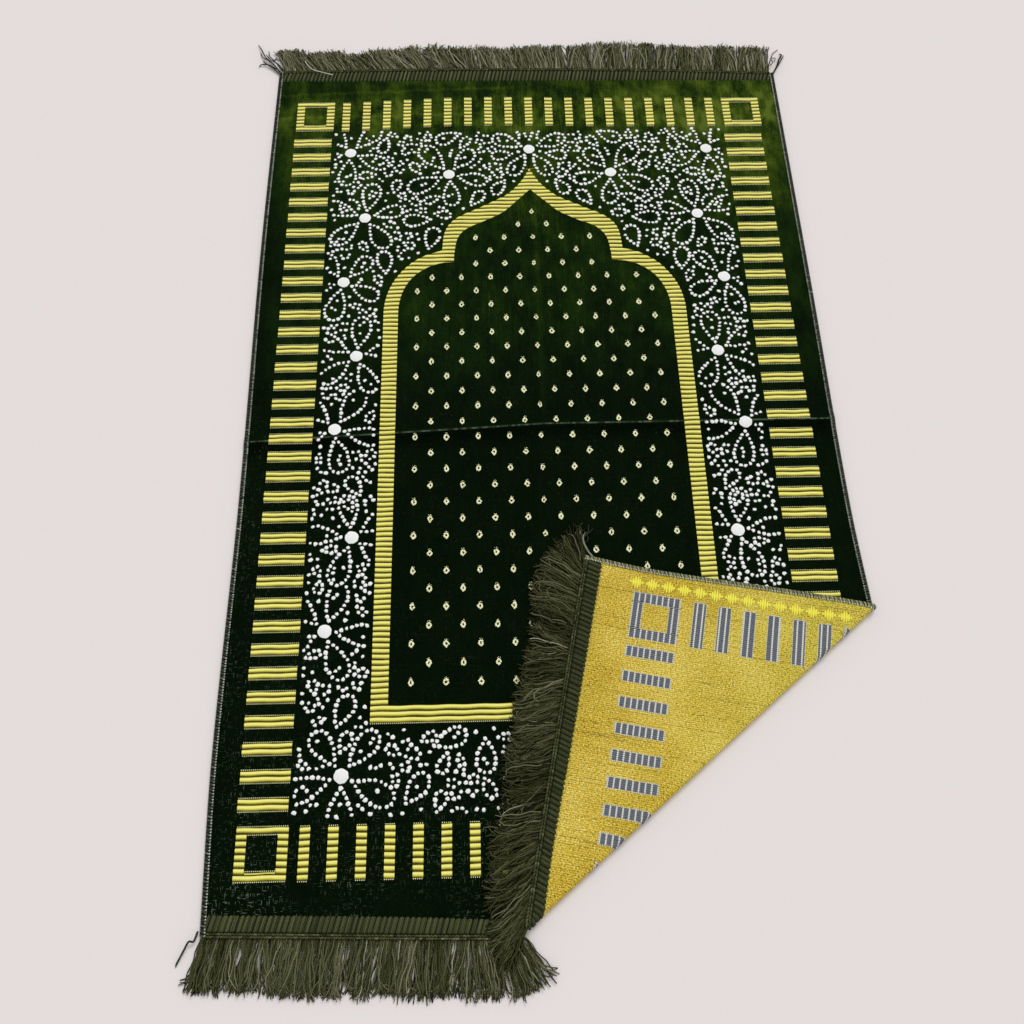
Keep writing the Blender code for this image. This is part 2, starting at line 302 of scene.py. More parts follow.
def follow(table: tuple, place: Array | float, column: str) -> Array:
    """Reads a column of a table on a smooth curve through its rows.

    Args:
        table: rows whose first column is the place.
        place: where to read it.
        column: the column's name.

    Returns:
        The column's value at each place.
    """
    places = np.array([row[0] for row in table], float)
    values = np.array([getattr(row, column) for row in table], float)
    slopes = np.gradient(values, places)
    slopes[1:-1] = (values[2:] - values[:-2]) / (places[2:] - places[:-2])
    place = np.asarray(place, float)
    k = np.clip(np.searchsorted(places, place) - 1, 0, len(places) - 2)
    step = places[k + 1] - places[k]
    share = np.clip((place - places[k]) / step, 0.0, 1.0)
    start = (1 + 2 * share) * (1 - share) ** 2 * values[k]
    start = start + share * (1 - share) ** 2 * step * slopes[k]
    end = share**2 * (3 - 2 * share) * values[k + 1]
    return start + end - share**2 * (1 - share) * step * slopes[k + 1]


def edge(table: tuple) -> Line:
    """Gives the function that reads how far across an edge lies."""
    return lambda place: follow(table, place, "across")


@dataclass(frozen=True)
class RugPlan:
    """The rug's flat plan, and how it lies: its fold and its crease."""

    thickness: float = 0.003
    binding: float = 0.005
    fold_direction: float = math.radians(39.07)
    fold_start: float = 0.3999
    fold_radius: float = 0.0035
    fold_slip: float = 0.006
    flap_gap: float = 0.001
    flap_settles_over: float = 0.05
    crease_height: float = 0.0012
    crease_half_width: float = 0.012
    ridge_height: float = 0.0005
    ridge_width: float = 0.0016
    shift: Pair = (0.0099, -0.0033)

    @property
    def bend_length(self) -> float:
        """The cloth's length round the bend."""
        return math.pi * self.fold_radius

    @property
    def pile(self) -> float:
        """The pile side's height over the sheet's middle."""
        return self.thickness / 2

    @property
    def back(self) -> float:
        """The back's height over the sheet's middle."""
        return -self.thickness / 2

    def past_fold(self, u: Array, v: Array) -> Array:
        """How far a point of the plan lies past the start of the bend."""
        return u * math.sin(self.fold_direction) - v * math.cos(self.fold_direction) - self.fold_start

    def from_crease(self, u: Array, v: Array) -> Array:
        """How far a point of the plan lies above the middle crease."""
        return v - follow(CREASE, u, "across")

    def lift(self, u: Array, v: Array) -> Array:
        """How far the creases lift the sheet off the floor.

        Args:
            u: places across the rug.
            v: places along the rug.

        Returns:
            The lift at each place.
        """
        away = self.from_crease(u, v)
        hump = np.cos(np.clip(away / self.crease_half_width, -1, 1) * math.pi / 2) ** 2
        ridge = np.exp(-((away / self.ridge_width) ** 2))
        return self.crease_height * hump + self.ridge_height * ridge

    def lay(self, plan: Array) -> Array:
        """Carries points of the plan to their places on the floor.

        Args:
            plan: points as (u, v, height over the sheet's middle), one a row.

        Returns:
            The same points as (x, y, z).
        """
        u, v, height = plan[..., 0], plan[..., 1], plan[..., 2]
        across_axis = (math.sin(self.fold_direction), -math.cos(self.fold_direction))
        along_axis = (math.cos(self.fold_direction), math.sin(self.fold_direction))
        across = u * across_axis[0] + v * across_axis[1]
        along = u * along_axis[0] + v * along_axis[1]
        past = across - self.fold_start
        middle = self.thickness / 2
        turn = np.clip(past / self.fold_radius, 0.0, math.pi)
        arm = self.fold_radius - height
        settled = smooth_step((past - self.bend_length) / self.flap_settles_over)
        top = middle + 2 * self.fold_radius
        flap = middle + self.thickness + self.flap_gap
        flat = past <= 0
        over = past >= self.bend_length
        bending = middle + self.fold_radius - arm * np.cos(turn)
        z = np.where(over, top + (flap - top) * settled - height, bending)
        z = np.where(flat, middle + self.lift(u, v) + height, z)
        bent = self.fold_start + arm * np.sin(turn)
        across = np.where(over, self.fold_start - (past - self.bend_length), np.where(flat, across, bent))
        along = along + self.fold_slip * smooth_step(past / self.bend_length)
        x = across * across_axis[0] + along * along_axis[0] + self.shift[0]
        y = across * across_axis[1] + along * along_axis[1] + self.shift[1]
        return np.stack([x, y, z], axis=-1)


PLAN = RugPlan()


class Face(Enum):
    """Which side of the cloth a stitch lies on."""

    PILE = 1
    BACK = -1


class Held(Enum):
    """How a sheet is held."""

    LAID = "laid"
    FOLDED = "folded"


class Reads(Enum):
    """The vector that a finish reads from the mesh."""

    PLAN = "plan"
    YARN = "yarn"


class Stock:
    """Gathers the surfaces of one piece until they are made into a mesh."""

    def __init__(self, reads: Reads) -> None:
        """Starts with nothing, for a piece whose finish reads this vector.

        Args:
            reads: the vector that it reads.
        """
        self.reads = reads
        self.places: list[Array] = []
        self.marks: list[Array] = []
        self.faces: list[list[int]] = []
        self.finishes: list[int] = []
        self.count = 0

    def add(self, places: Array, marks: Array, groups: list[Array], finish: int = 0) -> None:
        """Adds one surface.

        Args:
            places: its vertices in the row frame.
            marks: the vector that the finish reads at each of them.
            groups: arrays of faces, each of one number of corners.
            finish: which of the piece's finishes it wears.
        """
        for group in groups:
            self.faces.extend((np.asarray(group) + self.count).tolist())
            self.finishes.extend([finish] * len(group))
        places = np.array(places, float).reshape(-1, 3)
        places[:, 2] = np.maximum(places[:, 2], 0.0)
        self.places.append(places)
        self.marks.append(np.asarray(marks, float).reshape(-1, 3))
        self.count += len(self.places[-1])

    def add_laid(self, plan: Array, groups: list[Array], finish: int = 0) -> None:
        """Adds a surface drawn on the plan, whose finish reads the plan."""
        self.add(PLAN.lay(plan), plan, groups, finish)

    def make(self, name: str, finishes: list[Material], sharp: float = 60.0) -> Piece:
        """Makes the gathered surfaces into one object.

        Args:
            name: the piece's name.
            finishes: its materials.
            sharp: the angle in degrees past which an edge stays sharp.

        Returns:
            The object, linked to the scene.
        """
        mesh = bpy.data.meshes.new(name)
        mesh.from_pydata(np.concatenate(self.places), [], self.faces)
        for finish in finishes:
            mesh.materials.append(finish)
        mesh.polygons.foreach_set("material_index", self.finishes)
        marks = mesh.attributes.new(self.reads.value, "FLOAT_VECTOR", "POINT")
        marks.data.foreach_set("vector", np.concatenate(self.marks).astype(np.float32).ravel())
        mesh.update()
        mesh.shade_smooth()
        mesh.set_sharp_from_angle(angle=math.radians(sharp))
        piece = bpy.data.objects.new(name, mesh)
        bpy.context.scene.collection.objects.link(piece)
        return piece


class Slot(Enum):
    """The record's material slots."""

    VELVET = "velvet"
    TAPE = "heading_tape"
    YARN = "fringe_yarn"
    THREAD = "edge_thread"


def fit(piece: Piece, slot: Slot | None = None, node: str | None = None) -> Piece:
    """Rides a finished piece on the rug's body, hides the CAD node that it replaces and logs its triangles.

    Args:
        piece: the object, in place.
        slot: the record's material slot, where it has one; not used.
        node: the CAD node that it replaces, where it does.

    Returns:
        The same object.
    """
    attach(piece, BODY)
    if node:
        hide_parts(node)
    triangles = sum(len(face.vertices) - 2 for face in piece.data.polygons)
    LOG.info("%s: %d triangles", piece.name, triangles)
    return piece


def sweep(paths: Array, radii: Array, sides: int, flatten: float = 1.0) -> tuple[Array, Array, list[Array]]:
    """Sweeps many round yarns at once.

    Args:
        paths: centre lines, shaped (yarns, stations, 3).
        radii: the radius at each station, shaped (yarns, stations).
        sides: how many sides each yarn has.
        flatten: the height of a yarn's section over its width.

    Returns:
        Vertices, their (around, along) marks with 0 for the tone, and the faces.
    """
    yarns, stations, _ = paths.shape
    ahead = np.gradient(paths, axis=1)
    ahead /= np.linalg.norm(ahead, axis=2, keepdims=True) + 1e-12
    aside = np.cross(ahead, np.array([0.0, 0.0, 1.0]))
    aside /= np.linalg.norm(aside, axis=2, keepdims=True) + 1e-12
    rise = np.cross(aside, ahead) * flatten
    turn = np.arange(sides) * 2 * math.pi / sides
    ring = np.cos(turn)[:, None] * aside[:, :, None, :] + np.sin(turn)[:, None] * rise[:, :, None, :]
    places = paths[:, :, None, :] + radii[:, :, None, None] * ring
    steps = np.linalg.norm(np.diff(paths, axis=1), axis=2)
    along = np.concatenate([np.zeros((yarns, 1)), np.cumsum(steps, axis=1)], axis=1)
    marks = np.zeros((yarns, stations, sides, 3))
    marks[..., 0] = np.arange(sides) / sides
    marks[..., 1] = along[:, :, None]
    index = np.arange(yarns * stations * sides).reshape(yarns, stations, sides)
    beside = np.roll(index, -1, axis=2)
    quads = np.stack([index[:, :-1], index[:, 1:], beside[:, 1:], beside[:, :-1]], axis=-1).reshape(-1, 4)
    ends = np.concatenate([index[:, 0, :], index[:, -1, ::-1]])
    return places.reshape(-1, 3), marks.reshape(-1, 3), [quads, ends]


def grid_faces(across: int, along: int, face: Face = Face.PILE) -> Array:
    """Numbers the four corners of every cell of a grid.

    Args:
        across: how many points it has across.
        along: how many points it has along.
        face: the side of the cloth that the cells look to.

    Returns:
        The faces, one a row.
    """
    index = np.arange(across * along).reshape(across, along)
    corners = [index[:-1, :-1], index[1:, :-1], index[1:, 1:], index[:-1, 1:]]
    quads = np.stack(corners, axis=-1).reshape(-1, 4)
    return quads if face is Face.PILE else quads[:, [0, 3, 2, 1]]


def toned(marks: Array, tones: Array) -> Array:
    """Writes each yarn's tone into its marks.

    Args:
        marks: the marks that sweep() gave.
        tones: one tone for each yarn.

    Returns:
        The marks with the tones in their third column.
    """
    marks = marks.copy()
    marks[:, 2] = np.repeat(tones, len(marks) // len(tones))
    return marks


def domes(centres: Array, radii: Array, foot: float, height: float, sides: int, draw: Draw,
          stretch: float = 1.0, uneven: float = 0.12, face: Face = Face.PILE) -> tuple[Array, list[Array]]:
    """Shapes low rounded tufts on the plan.

    Args:
        centres: their middles as (u, v), one a row.
        radii: their radii.
        foot: the height of their rim over the sheet's middle.
        height: how far they stand up from it.
        sides: how many sides each has.
        draw: the source of their unevenness.
        stretch: their length along v over their width.
        uneven: how far a rim point strays, as a share of the radius.
        face: the side of the cloth that they stand on.

    Returns:
        Their vertices on the plan, and their faces.
    """
    count = len(centres)
    turn = np.arange(sides) * 2 * math.pi / sides + draw.uniform(0, math.pi / sides, (count, 1))
    stray = radii[:, None] * (1 + draw.uniform(-uneven, uneven, (count, sides)))
    plan = np.zeros((count, 2 * sides + 1, 3))
    for ring, (share, rise) in enumerate(((1.0, 0.0), (0.72, 0.78))):
        part = plan[:, ring * sides:(ring + 1) * sides]
        part[..., 0] = centres[:, :1] + np.cos(turn) * stray * share
        part[..., 1] = centres[:, 1:] + np.sin(turn) * stray * share * stretch
        part[..., 2] = foot + height * rise
    plan[:, -1, :2] = centres
    plan[:, -1, 2] = foot + height
    index = np.arange(count * (2 * sides + 1)).reshape(count, -1)
    rim, shoulder, crown = index[:, :sides], index[:, sides:2 * sides], index[:, -1]
    next_rim, next_shoulder = np.roll(rim, -1, axis=1), np.roll(shoulder, -1, axis=1)
    quads = np.stack([rim, next_rim, next_shoulder, shoulder], axis=-1).reshape(-1, 4)
    crowns = np.repeat(crown[:, None], sides, axis=1)
    caps = np.stack([shoulder, next_shoulder, crowns], axis=-1).reshape(-1, 3)
    if face is Face.BACK:
        plan[..., 2] *= -1
        quads, caps = quads[:, ::-1], caps[:, ::-1]
    return plan.reshape(-1, 3), [quads, caps]


def wind(stock: Stock, paths: Array, radii: Array, tones: Array, finish: int = 0) -> None:
    """Lays yarns that are drawn on the plan, and adds them to a piece.

    Args:
        stock: the piece.
        paths: the yarns' centre lines on the plan.
        radii: the radius at each station.
        tones: each yarn's tone.
        finish: which of the piece's finishes they wear.
    """
    places, marks, faces = sweep(paths, radii, YARN_SIDES)
    stock.add(PLAN.lay(places), toned(marks, np.clip(tones, 0, 1)), faces, finish)


class Bench:
    """Lays out and links the nodes of one tree."""

    def __init__(self, tree: Tree) -> None:
        """Works on this tree."""
        self.tree = tree

    def feed(self, socket: Socket, value: object) -> None:
        """Links another node's output to a socket, or sets its value.

        Args:
            socket: the socket.
            value: an output or a plain value.
        """
        if isinstance(value, Socket):
            self.tree.links.new(value, socket)
        else:
            socket.default_value = value

    def node(self, kind: str, inputs: dict | None = None, **settings: object) -> Node:
        """Adds a node.

        Args:
            kind: its Blender type.
            inputs: values or outputs for its sockets, by name or number.
            settings: its own properties.

        Returns:
            The node.
        """
        made = self.tree.nodes.new(kind)
        for name, value in settings.items():
            setattr(made, name, value)
        for socket, value in (inputs or {}).items():
            self.feed(made.inputs[socket], value)
        return made

    def maths(self, operation: str, *values: object, clamp: bool = False) -> Socket:
        """Works out one sum on up to three values."""
        inputs = dict(enumerate(values))
        return self.node("ShaderNodeMath", inputs, operation=operation, use_clamp=clamp).outputs[0]

    def fade(self, value: object, fade: Fade) -> Socket:
        """Maps a value smoothly through a named range."""
        return self.rise(value, *fade)

    def times(self, first: object, second: object, clamp: bool = False) -> Socket:
        """Multiplies two values."""
        return self.maths("MULTIPLY", first, second, clamp=clamp)

    def plus(self, first: object, second: object, clamp: bool = False) -> Socket:
        """Adds two values."""
        return self.maths("ADD", first, second, clamp=clamp)

    def less(self, first: object, second: object) -> Socket:
        """Takes the second value from the first."""
        return self.maths("SUBTRACT", first, second)

    def weigh(self, value: object, weight: object, rest: object, clamp: bool = False) -> Socket:
        """Adds a weighted value to the rest."""
        return self.maths("MULTIPLY_ADD", value, weight, rest, clamp=clamp)

    def size(self, value: object) -> Socket:
        """Takes a value's size without its sign."""
        return self.maths("ABSOLUTE", value)

    def wave(self, turns: object) -> Socket:
        """Gives the sine of a number of whole turns."""
        return self.maths("SINE", self.times(turns, 2 * math.pi))

    def near(self, value: object, middle: float) -> Socket:
        """Measures how far a value is from a middle."""
        return self.size(self.less(value, middle))

    def parts(self, place: object) -> tuple[Socket, Socket, Socket]:
        """Splits a vector into its three parts."""
        return tuple(self.node("ShaderNodeSeparateXYZ", {0: place}).outputs)

    def grain(self, place: object, scales: Triple, detail: float, roughness: float = 0.5) -> Socket:
        """Gives soft noise with its own scale along each axis."""
        return self.noise(self.stretched(place, scales), 1.0, detail, roughness)

    def rise(self, value: object, low: float, high: float, start: float = 0.0, end: float = 1.0) -> Socket:
        """Maps a value smoothly from one range to another, and stops at its ends."""
        inputs = {0: value, 1: low, 2: high, 3: start, 4: end}
        return self.node("ShaderNodeMapRange", inputs, interpolation_type="SMOOTHSTEP").outputs[0]

    def mix(self, share: object, low: object, high: object) -> Socket:
        """Mixes two colours."""
        return self.node("ShaderNodeMix", {0: share, 6: low, 7: high}, data_type="RGBA").outputs[2]

    def noise(self, place: object, scale: float, detail: float = 2.0, roughness: float = 0.5) -> Socket:
        """Gives soft noise over a place."""
        inputs = {"Vector": place, "Scale": scale, "Detail": detail, "Roughness": roughness}
        return self.node("ShaderNodeTexNoise", inputs, noise_dimensions="3D").outputs["Fac"]

    def stretched(self, place: object, scales: Triple) -> Socket:
        """Scales a place by its own amount along each axis."""
        return self.node("ShaderNodeVectorMath", {0: place, 1: scales}, operation="MULTIPLY").outputs[0]

    def shades(self, share: object, stops: tuple[tuple[float, Tint], ...]) -> Socket:
        """Runs a value through a row of colours.

        Args:
            share: the value, from 0 to 1.
            stops: the colours, each with its position.

        Returns:
            The colour's output.
        """
        made = self.node("ShaderNodeValToRGB", {0: share})
        ramp = made.color_ramp
        while len(ramp.elements) < len(stops):
            ramp.elements.new(0.5)
        for element, (position, colour) in zip(ramp.elements, stops):
            element.position = position
            element.color = colour
        return made.outputs[0]

    def bump(self, height: object, distance: float, strength: float = 1.0) -> Socket:
        """Turns a height into a normal."""
        inputs = {"Height": height, "Distance": distance, "Strength": strength}
        return self.node("ShaderNodeBump", inputs).outputs["Normal"]

    def use(self, group: Tree, inputs: dict[str, object]) -> Node:
        """Places a node group.

        Args:
            group: the group.
            inputs: values or outputs for its sockets, by name.

        Returns:
            The group's node.
        """
        made = self.node("ShaderNodeGroup", node_tree=group)
        for name, value in inputs.items():
            self.feed(made.inputs[name], value)
        return made


class SocketKind(Enum):
    """The kinds of socket that the groups have."""

    VALUE = "NodeSocketFloat"
    VECTOR = "NodeSocketVector"


class Effects:
    """The node groups that more than one finish uses, each built once."""

    results = ("Shade", "Relief")

    def __init__(self) -> None:
        """Builds every group."""
        self.drift = self.build_drift()
        self.weave = self.build_weave()
        self.twist = self.build_twist()
        self.threads = self.build_threads()

    def start(self, name: str, place: str, values: tuple[str, ...]) -> tuple[Bench, dict, dict]:
        """Opens a new group, which puts out a shade and a relief.

        Args:
            name: the group's name.
            place: the name of its vector input.
            values: the names of its other inputs.

        Returns:
            The bench, the group's inputs by name, and its output sockets by name.
        """
        tree = bpy.data.node_groups.new(name, "ShaderNodeTree")
        tree.interface.new_socket(place, in_out="INPUT", socket_type=SocketKind.VECTOR.value)
        for label in values:
            tree.interface.new_socket(label, in_out="INPUT", socket_type=SocketKind.VALUE.value)
        for label in self.results:
            tree.interface.new_socket(label, in_out="OUTPUT", socket_type=SocketKind.VALUE.value)
        bench = Bench(tree)
        given = bench.node("NodeGroupInput").outputs
        wanted = bench.node("NodeGroupOutput").inputs
        named = {label: given[label] for label in (place, *values)}
        return bench, named, {label: wanted[label] for label in self.results}

    def build_drift(self) -> Tree:
        """Slow, blotchy changes of tone over a cloth.

        Returns:
            The group.
        """
        bench, given, wanted = self.start("tone_drift", "Place", ("Scale",))
        noise = bench.noise(given["Place"], given["Scale"], 4.0)
        bench.feed(wanted["Shade"], bench.rise(noise, 0.30, 0.70))
        bench.feed(wanted["Relief"], noise)
        return bench.tree

    def build_weave(self) -> Tree:
        """Uneven threads of a weave or pile, by their spacing across and along.

        Returns:
            The group.
        """
        bench, given, wanted = self.start("weave_grain", "Place", ("Across", "Along", "Slant"))
        parts = bench.parts(given["Place"])
        lean = bench.weigh(parts[1], given["Slant"], parts[0])
        across = bench.maths("DIVIDE", lean, given["Across"])
        along = bench.maths("DIVIDE", parts[1], given["Along"])
        cell = bench.node("ShaderNodeCombineXYZ", {0: across, 1: along}).outputs[0]
        knit = bench.times(bench.wave(across), bench.wave(along))
        mixed = bench.weigh(knit, 0.10, bench.noise(cell, 1.0, 1.0))
        bench.feed(wanted["Shade"], bench.rise(mixed, 0.25, 0.75))
        bench.feed(wanted["Relief"], mixed)
        return bench.tree

    def build_twist(self) -> Tree:
        """The slanting plies of a twisted yarn, which its (around, along) marks place.

        Returns:
            The group.
        """
        bench, given, wanted = self.start("yarn_twist", "Yarn", ("Pitch",))
        parts = bench.parts(given["Yarn"])
        along = bench.maths("DIVIDE", parts[1], given["Pitch"])
        ply = bench.weigh(bench.wave(bench.weigh(parts[0], 2.0, along)), 0.5, 0.5)
        bench.feed(wanted["Shade"], ply)
        bench.feed(wanted["Relief"], ply)
        return bench.tree

    def build_threads(self) -> Tree:
        """Fine parallel threads that run along the rug, as on a float of gold or white yarn.

        Returns:
            The group.
        """
        bench, given, wanted = self.start("float_threads", "Place", ("Pitch",))
        stray = bench.noise(bench.stretched(given["Place"], (1.0, 0.15, 1.0)), 900.0, 1.0)
        phase = bench.maths("DIVIDE", bench.parts(given["Place"])[0], given["Pitch"])
        phase = bench.plus(phase, bench.times(stray, 0.6))
        ridge = bench.size(bench.maths("SINE", bench.times(phase, math.pi)))
        bench.feed(wanted["Shade"], bench.times(bench.plus(ridge, stray), 0.62, clamp=True))
        bench.feed(wanted["Relief"], ridge)
        return bench.tree


class Blank:
    """A material under way, with its bench, its shader and the vector it reads."""

    def __init__(self, name: str, reads: Reads, roughness: float, specular: float) -> None:
        """Starts the material with the shader's roughness and specular level.

        Args:
            name: its name.
            reads: the vector that it reads.
            roughness: the shader's roughness.
            specular: the shader's specular level.
        """
        self.material = bpy.data.materials.new(name)
        self.material.use_nodes = True
        self.bench = Bench(self.material.node_tree)
        self.inputs = self.material.node_tree.nodes["Principled BSDF"].inputs
        self.inputs["Roughness"].default_value = roughness
        self.inputs["Specular IOR Level"].default_value = specular
        place = self.bench.node("ShaderNodeAttribute", attribute_name=reads.value, attribute_type="GEOMETRY")
        self.place = place.outputs["Vector"]

    def close(self, colour: Socket, relief: Socket, depth: float, strength: float) -> Material:
        """Feeds the shader and hands over the material.

        Args:
            colour: the base colour.
            relief: the height of the surface's texture.
            depth: how deep that texture is.
            strength: how strongly it turns the normal.

        Returns:
            The material.
        """
        self.bench.feed(self.inputs["Base Color"], colour)
        self.bench.feed(self.inputs["Normal"], self.bench.bump(relief, depth, strength))
        return self.material


@dataclass(frozen=True)
class Velvet:
    """Dark green cut pile, with painted sheen where it leans away and on its pale pressed lines."""

    deep: Tint = tint(2, 9, 2)
    shaded: Tint = tint(8, 20, 6)
    body: Tint = tint(18, 37, 8)
    # Painted sheen: the lighter greens where the pile leans away.
    sheen_lit: Tint = tint(48, 66, 11)
    sheen_brightest: Tint = tint(86, 102, 34)
    lint: Tint = tint(104, 120, 98)
    sheen: Tint = tint(120, 160, 60)
    stops: tuple[float, ...] = (0.0, 0.16, 0.40, 0.70, 1.0)
    sheen_blotches: tuple[Blotch, ...] = (
        Blotch(scale=30.0, squat=0.7, weight=0.62),
        Blotch(scale=7.0, squat=0.6, weight=0.30),
        Blotch(scale=130.0, squat=0.45, weight=0.32),
    )
    streak_scales: Triple = (520.0, 22.0, 1.0)
    fleck_scales: Triple = (1100.0, 640.0, 1.0)
    pick_scales: Triple = (170.0, 1100.0, 1.0)
    end_scales: Triple = (1100.0, 150.0, 1.0)
    break_scales: Triple = (150.0, 1.0, 1.0)
    streaked: Fade = Fade(0.42, 0.74)
    flecked: Fade = Fade(0.55, 0.72)
    crossed: Fade = Fade(0.69, 0.79)
    combed_sheen: Fade = Fade(0.02, 0.16, 0.42, 0.16)
    upper: Fade = Fade(-0.02, 0.16, 0.06, 0.30)
    crown: Fade = Fade(0.20, 0.46, 0.0, 0.22)
    bars_start: Fade = Fade(0.425, 0.465)
    bars_end: Fade = Fade(0.525, 0.495, 0.0, 0.20)
    right_side: Fade = Fade(0.02, 0.26, 0.0, 0.24)
    right_top: Fade = Fade(0.30, 0.50, 0.10, 1.0)
    left_margin: Fade = Fade(-0.31, -0.335, 0.0, -0.16)
    least_sheen: float = 0.06
    linty_side: Fade = Fade(-0.20, -0.33, 0.0, 0.35)
    linty_below: Fade = Fade(0.10, -0.20)
    linty_bottom: Fade = Fade(-0.36, -0.50, 0.06, 0.60)
    crease_corner: float = 0.005
    crease_level: float = -0.0068
    crease_slope: float = 0.0505
    crease_parted: Fade = Fade(0.0003, 0.0013, 0.62, 0.0)
    crease_broken: Fade = Fade(0.40, 0.62, 0.15, 1.0)
    # Painted sheen on the crease's ridge, and a painted shadow below it.
    crease_pressed: Fade = Fade(0.0004, 0.0034, 0.16, 0.0)
    shadow_start: Fade = Fade(-0.030, -0.001)
    shadow_end: Fade = Fade(0.0, -0.001)
    shadow: float = -0.14
    # Painted sheen along the pressed lines.
    pressed_lines: tuple[PressedLine, ...] = (
        PressedLine(level=0.5210, slant=0.030, reach=0.02),
        PressedLine(level=0.4730, slant=0.010, reach=-0.04),
    )
    pressed_width: Fade = Fade(0.0, 0.0048, 0.17, 0.0)
    pressed_fade: float = 0.06
    wander: float = 0.012
    middle: float = 0.004
    middle_width: Fade = Fade(0.0005, 0.0060, 0.10, 0.0)
    middle_start: Fade = Fade(-0.01, 0.02)

    def make(self, effects: Effects) -> Material:
        """Builds the material.

        Args:
            effects: the shared node groups.

        Returns:
            The material.
        """
        blank = Blank("green_velvet", Reads.PLAN, 0.95, 0.02)
        bench, place = blank.bench, blank.place
        u, v, _ = bench.parts(place)
        streak = bench.grain(place, self.streak_scales, 3.0, 0.65)
        fleck = bench.grain(place, self.fleck_scales, 1.0, 0.7)
        pile = bench.use(effects.weave, {"Place": place, "Across": 0.0011, "Along": 0.0016, "Slant": 0.0})
        # The blotches, the zone and the flecks paint the pile's sheen into its colour: painted sheen, lighter
        # where the pile leans away.
        zone = self.sheen_zone(bench, u, v)
        blotch = 0.0
        for size in self.sheen_blotches:
            squat = bench.stretched(place, (1.0, size.squat, 1.0))
            spots = bench.use(effects.drift, {"Place": squat, "Scale": size.scale})
            blotch = bench.weigh(spots.outputs["Shade"], size.weight, blotch)
        lean = bench.times(zone, bench.weigh(blotch, 1.08, 0.02))
        # Painted sheen in streaks down the middle column.
        combed_sheen_zone = bench.fade(bench.near(u, self.crease_corner), self.combed_sheen)
        combed_sheen = bench.times(bench.fade(streak, self.streaked), bench.weigh(zone, combed_sheen_zone, 0.03))
        fine = bench.weigh(pile.outputs["Shade"], 0.10, bench.plus(lean, combed_sheen))
        fine = bench.weigh(bench.fade(fleck, self.flecked), bench.times(zone, 0.85), fine)
        shade = bench.plus(fine, self.pressed(bench, u, v), clamp=True)
        tints = (self.deep, self.shaded, self.body, self.sheen_lit, self.sheen_brightest)
        colour = bench.shades(shade, tuple(zip(self.stops, tints)))
        picks = bench.fade(bench.grain(place, self.pick_scales, 0.0), self.crossed)
        ends = bench.fade(bench.grain(place, self.end_scales, 0.0), self.crossed)
        worn = bench.use(effects.drift, {"Place": place, "Scale": 22.0})
        side = bench.times(bench.fade(u, self.linty_side), bench.fade(v, self.linty_below))
        linty = bench.plus(bench.fade(v, self.linty_bottom), side)
        lint = bench.times(bench.times(bench.maths("MAXIMUM", picks, ends), worn.outputs["Shade"]), linty)
        lint = bench.maths("MAXIMUM", lint, self.crease_line(bench, u, v))
        colour = bench.mix(lint, colour, self.lint)
        relief = bench.plus(pile.outputs["Relief"], bench.plus(streak, fleck))
        blank.inputs["Sheen Weight"].default_value = 0.03
        blank.inputs["Sheen Roughness"].default_value = 0.45
        blank.inputs["Sheen Tint"].default_value = self.sheen
        return blank.close(colour, relief, 0.0006, 0.6)

    def sheen_zone(self, bench: Bench, u: Socket, v: Socket) -> Socket:
        """Maps the painted sheen where the pile leans away: most round the end bars, hardly at all below the
        crease.

        Args:
            bench: the material's bench.
            u: the place across the rug.
            v: the place along the rug.

        Returns:
            The painted sheen's strength, from 0 up.
        """
        upper = bench.plus(bench.fade(v, self.upper), bench.fade(v, self.crown))
        bars = bench.times(bench.fade(v, self.bars_start), bench.fade(v, self.bars_end))
        right = bench.times(bench.fade(u, self.right_side), bench.fade(v, self.right_top))
        zone = bench.plus(upper, bench.plus(bars, right))
        return bench.maths("MAXIMUM", bench.plus(zone, bench.fade(u, self.left_margin)), self.least_sheen)

    def crease_line(self, bench: Bench, u: Socket, v: Socket) -> Socket:
        """Marks the broken pale line where the pile parts on the middle crease.

        Args:
            bench: the material's bench.
            u: the place across the rug.
            v: the place along the rug.

        Returns:
            How strongly the line shows.
        """
        breaks = bench.grain(u, self.break_scales, 3.0)
        line = bench.fade(bench.size(self.past_crease(bench, u, v)), self.crease_parted)
        return bench.times(line, bench.fade(breaks, self.crease_broken))

    def past_crease(self, bench: Bench, u: Socket, v: Socket) -> Socket:
        """Measures how far above the middle crease a place lies."""
        slope = bench.times(bench.maths("MINIMUM", bench.less(u, self.crease_corner), 0.0), self.crease_slope)
        return bench.less(v, bench.plus(slope, self.crease_level))

    def pressed(self, bench: Bench, u: Socket, v: Socket) -> Socket:
        """Adds painted sheen along the lines where the rug was folded in its packet, and a painted shadow
        just below the middle crease.

        Args:
            bench: the material's bench.
            u: the place across the rug.
            v: the place along the rug.

        Returns:
            How much lighter, from painted sheen, or darker, from painted shadow, the pile is there.
        """
        away = self.past_crease(bench, u, v)
        # A painted shadow below the middle crease, and painted sheen along its ridge.
        dark = bench.times(bench.fade(away, self.shadow_start), bench.fade(away, self.shadow_end))
        total = bench.weigh(dark, self.shadow, bench.fade(bench.size(away), self.crease_pressed))
        # Painted sheen along the pressed lines and the middle line.
        wander = bench.times(bench.noise(u, 30.0, 2.0), self.wander)
        for line in self.pressed_lines:
            course = bench.plus(bench.weigh(u, line.slant, line.level), wander)
            mark = bench.fade(bench.size(bench.less(v, course)), self.pressed_width)
            mark = bench.times(mark, bench.rise(u, line.reach, line.reach - self.pressed_fade))
            total = bench.plus(total, mark)
        middle = bench.fade(bench.near(u, self.middle), self.middle_width)
        return bench.plus(total, bench.times(middle, bench.fade(v, self.middle_start)))


